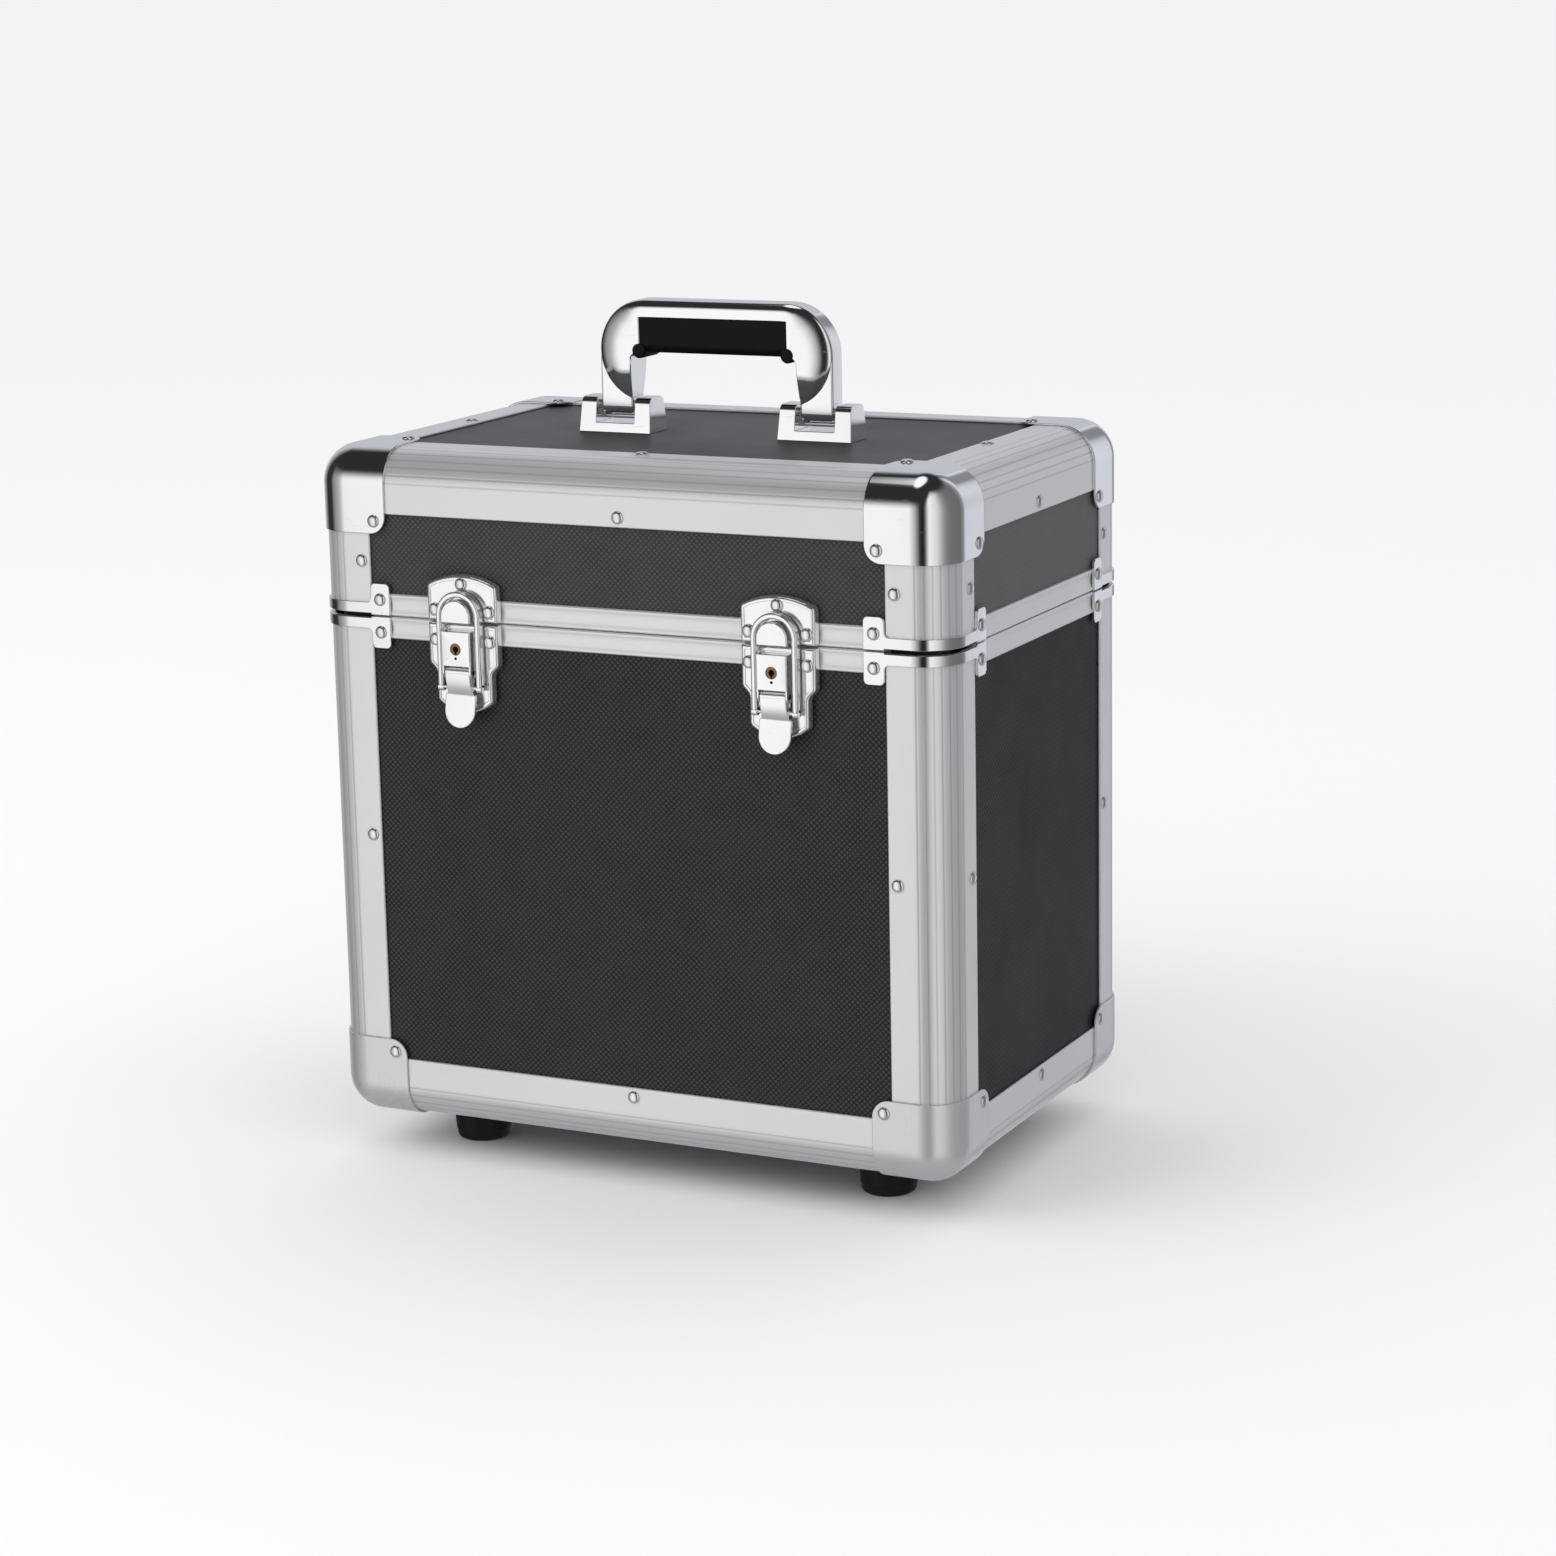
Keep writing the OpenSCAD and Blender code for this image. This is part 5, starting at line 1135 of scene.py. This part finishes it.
handle_chrome = polished("handle_chrome", (0.92, 0.92, 0.93), 0.07, 0.004)
leg_x = handle_half - leg_w / 2
build("handle_bow", [bow_shell(), leg_shell(-leg_x), leg_shell(leg_x)], handle_chrome, "handle",
      "latch_chrome", "handle_frame")

# The grip: moulded black plastic with a fine grain, its lower edges rounded.
grip_face, grip_chamfer = bow_half - 0.4, 0.5
lobe_r, lobe_out, lobe_up = 4.0, 0.4, 1.2
grip_plastic, tree, shader, place_in = new_material("grip_plastic", 0.5)
grain = noise(tree, place_in, 1800, 2, 0.6)
tree.links.new(blend_colours(tree, grain, (0.003, 0.003, 0.0034), (0.009, 0.009, 0.010)),
               shader.inputs["Base Color"])
shader.inputs["Specular IOR Level"].default_value = 0.16
tree.links.new(calc(tree, "MULTIPLY_ADD", grain, 0.2, 0.40), shader.inputs["Roughness"])
add_bump(tree, shader, grain, 0.05 * MM, 0.7)


def grip_block():
    """The grip's outline carried along X, with both ends chamfered."""
    outline, normals = rectangle(-grip_face, grip_face, grip_low, grip_high, 5.0, 0.3, 8)[:2]
    loops = []
    for x, inset in [(-grip_half, grip_chamfer), (grip_chamfer - grip_half, 0),
                     (grip_half - grip_chamfer, 0), (grip_half, grip_chamfer)]:
        y, z = (outline - inset * normals).T
        loops.append(np.stack([np.full(len(y), x), y, z], -1))
    return skin(np.array(loops))


def grip_lobe(side):
    """The lobe that fills the opening's corner beside the grip: a circle, smaller towards its two
    faces, by a share of its radius at each depth."""
    rows = [(0.55, -9.5), (0.85, -9.2), (1.0, -8.2), (1.0, 8.2), (0.85, 9.2), (0.55, 9.5)]
    share, y = np.array(rows).T[..., None]
    angle = np.linspace(0, 2 * np.pi, 33)[:-1]
    x = side * (grip_half + lobe_out) + share * lobe_r * np.cos(angle)
    z = grip_low + lobe_up + share * lobe_r * np.sin(angle)
    return skin(np.stack([x, np.broadcast_to(y, x.shape), z], -1))


build("handle_grip_insert", [grip_block(), grip_lobe(-1), grip_lobe(1)], grip_plastic, "handle",
      "grip_plastic", "handle_grip")

# ---------------------------------------------------------------- handle brackets
# Cast U-shaped brackets with rounded shoulders, their faces drawn in towards the top as a casting's
# are. The handle's feet turn on a pin between the walls.
bracket_w, bracket_half_d, bracket_h, bracket_floor, bracket_gap = 41.0, 10.0, 18.0, 5.0, 22.0
bracket_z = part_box("handle_bracket_left")[0].z / MM
shoulder_r, face_draft, side_draft, rim_r = 3.2, 0.15, 0.05, 0.35
wall_x, gap_x = bracket_w / 2, bracket_gap / 2
u_outline = rounded(symmetric([(wall_x, 0, 0.3), (wall_x, bracket_h, 0.5), (gap_x, bracket_h, 0.5),
                               (gap_x, bracket_floor, 0.4)]), 4)
u_rim = rim_profile(-bracket_half_d, bracket_half_d, rim_r, 4, rim_r)
block = plate(u_outline, u_rim, upright)
points, faces = cut_across(block, 2, np.linspace(bracket_h - shoulder_r, bracket_h - 0.15, 9))
x, y, z = points.T
past = np.clip(z - (bracket_h - shoulder_r), 0, 0.98 * shoulder_r)
half_depth = bracket_half_d - face_draft * z - shoulder_r + np.sqrt(shoulder_r ** 2 - past ** 2)
outer_wall = abs(x) > gap_x + 1
cast = np.stack([x - np.sign(x) * side_draft * z * outer_wall,
                 y * half_depth / bracket_half_d, z], -1)
fold_pin_r, fold_pin_half = 2.5, bracket_w / 2 - 1.5
rods = []
for s, side_name in sides:
    middle = s * leg_x
    build(f"handle_bracket_{side_name}_cast", [(cast + [middle, 0, bracket_z], faces)],
          handle_chrome, "lid", "latch_chrome", f"handle_bracket_{side_name}")
    rods.append(rod(fold_pin_r, -fold_pin_half, fold_pin_half,
                    lambda a, b, h: np.stack([middle + h, a, pivot_z + b], -1)))
pin_steel = satin_metal("pin_steel", 0, (0.66, 0.66, 0.68), 0.24)
build("handle_pin_rods", rods, pin_steel, "lid", "pin_steel", "handle_pins")

# ---------------------------------------------------------------- pins and screws
# Plain steel pins and pan head screws, as turned. They hold the levers, the hinges, the feet and
# the handle's brackets.
for node in ("latch_pins", "hinge_pins", "foot_screws", "bracket_screws"):
    dress(node, pin_steel)

# ---------------------------------------------------------------- hinges
# Two zinc plated steel hinges on the back, their leaves riveted to the boards. The lid's leaf has
# one knuckle, between the two of the body's leaf.
hinge_steel = satin_metal("hinge_steel", 0, (0.72, 0.72, 0.74), 0.22)
hinge_w, leaf_h, knuckle_r, knuckle_gap, leaf_start = 44.0, 23.0, 4.0, 0.3, 4.3
hinge_out = (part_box("hinge_pins")[0].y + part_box("hinge_pins")[1].y) / 2 / MM
knuckle_w = (hinge_w - 2 * knuckle_gap) / 4
fine_spin = np.linspace(0, 2 * np.pi, 41)[:-1]
outer_pair = [(-hinge_w / 2, -hinge_w / 2 + knuckle_w), (hinge_w / 2 - knuckle_w, hinge_w / 2)]
middle_one = [(-hinge_w / 2 + knuckle_w + knuckle_gap, hinge_w / 2 - knuckle_w - knuckle_gap)]
for side, side_name in sides:
    for half_name, sign, knuckles in (("lid", 1, middle_one), ("body", -1, outer_pair)):
        def on_back(x, z, h):
            """Puts (across, away from the split, out) on the back at a hinge."""
            return np.stack([side * hinge_x + x, half_d - skin_in + h, split_z + sign * z], -1)

        leaf = rectangle(-hinge_w / 2, hinge_w / 2, leaf_start, leaf_h, 0.4, 3.5, 6)
        parts = [plate(leaf, rim_profile(0.0, leaf_t, 0.35, 4), on_back)]
        for a, b in knuckles:
            neck = rectangle(a, b, 0.0, leaf_start + 1, 0.2, 0.2, 3)
            parts.append(plate(neck, [(0, 0.0), (0, leaf_t - 0.1)], on_back))
            parts.append(rod(knuckle_r, a, b, lambda p, q, h: np.stack(
                [side * hinge_x + h, hinge_out + p, split_z + q], -1), fine_spin))
        node = f"hinge_{half_name}_leaf_{side_name}"
        build(f"{node}_plate", parts, hinge_steel, half_name, "hinge_steel", node)

# ---------------------------------------------------------------- linings
# Charcoal felt over thin foam, glued to the boards inside the lid and the body. It is one moulded
# pad in each half, with rounded corners and a rounded rim.
felt, tree, shader, place_in = new_material("lining_felt", 0.95)
fluff = noise(tree, place_in, 900, 5, 0.7)
cloud = noise(tree, place_in, 30, 3)
mask = mixed(tree, fluff, cloud, 0.7)
tree.links.new(blend_colours(tree, mask, (0.012, 0.012, 0.014), (0.05, 0.05, 0.055)),
               shader.inputs["Base Color"])
shader.inputs["Sheen Weight"].default_value = 0.4
shader.inputs["Sheen Roughness"].default_value = 0.5
add_bump(tree, shader, fluff, 0.35 * MM, 0.8)
foam_t, inner_r, cove_r, floor_in = 3.0, 4.0, 2.4, 12.0
for half_name in ("lid", "body"):
    low, high = (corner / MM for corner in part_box(f"{half_name}_lining"))
    outline = rectangle(-high.x, high.x, -high.y, high.y, inner_r, inner_r, 7)
    if half_name == "body":
        floor_z, rim_z, sign = low.z, high.z, 1
    else:
        floor_z, rim_z, sign = high.z, low.z, -1
    cove = [(foam_t + cove_r * (1 - math.sin(a)),
             floor_z + sign * (foam_t + cove_r * (1 - math.cos(a))))
            for a in np.linspace(0, math.pi / 2, 6)]
    rim = [(foam_t / 2 + foam_t / 2 * math.cos(a), rim_z - sign * foam_t / 2 * (1 - math.sin(a)))
           for a in np.linspace(0, math.pi, 7)]
    rows = [(floor_in, floor_z + sign * foam_t)] + cove + rim + [(0.0, floor_z)]
    lining = build(f"{half_name}_felt", [plate(outline, rows, lying)], felt, half_name, "lining",
                   f"{half_name}_lining")

# ---------------------------------------------------------------- feet
# Moulded rubber feet, slightly tapered, each with a well for the screw that holds it to the bottom
# board.
rubber, tree, shader, place_in = new_material("foot_rubber", 0.6)
speck = noise(tree, place_in, 700, 4, 0.6)
worn = placed(tree, handling, Vector=place_in)
mask = mixed(tree, worn["Smudge"], speck)
tree.links.new(blend_colours(tree, mask, (0.003, 0.003, 0.003), (0.010, 0.0095, 0.009)),
               shader.inputs["Base Color"])
shader.inputs["Specular IOR Level"].default_value = 0.25
tree.links.new(spread(tree, mask, 0.45, 0.75), shader.inputs["Roughness"])
add_bump(tree, shader, speck, 0.06 * MM, 0.6)
foot_x, foot_y, foot_r, foot_low, foot_edge, foot_top = 117, 64, 15.8, 14.0, 2.5, 22.7
well_r, well_h = 5.0, 6.0
foot_rows = [(1.0, well_h), (well_r, well_h), (well_r, 0.4), (well_r + 0.4, 0.0)]
foot_rows += [(foot_low - foot_edge + foot_edge * math.sin(a), foot_edge - foot_edge * math.cos(a))
              for a in np.linspace(0, math.pi / 2, 7)]
foot_rows += [(foot_low + 0.2, 4.6), (foot_low + 0.55, 5.0), (foot_low + 0.6, 5.4),
              (foot_r, foot_top)]
foot_spin = np.linspace(0, 2 * np.pi, 61)[:-1]
feet = [revolve(foot_rows, lambda a, b, h: np.stack([sx * foot_x + a, sy * foot_y + b, h], -1),
                foot_spin) for sx in (-1, 1) for sy in (-1, 1)]
build("rubber_foot_set", feet, rubber, "body", "foot_rubber", "rubber_feet")
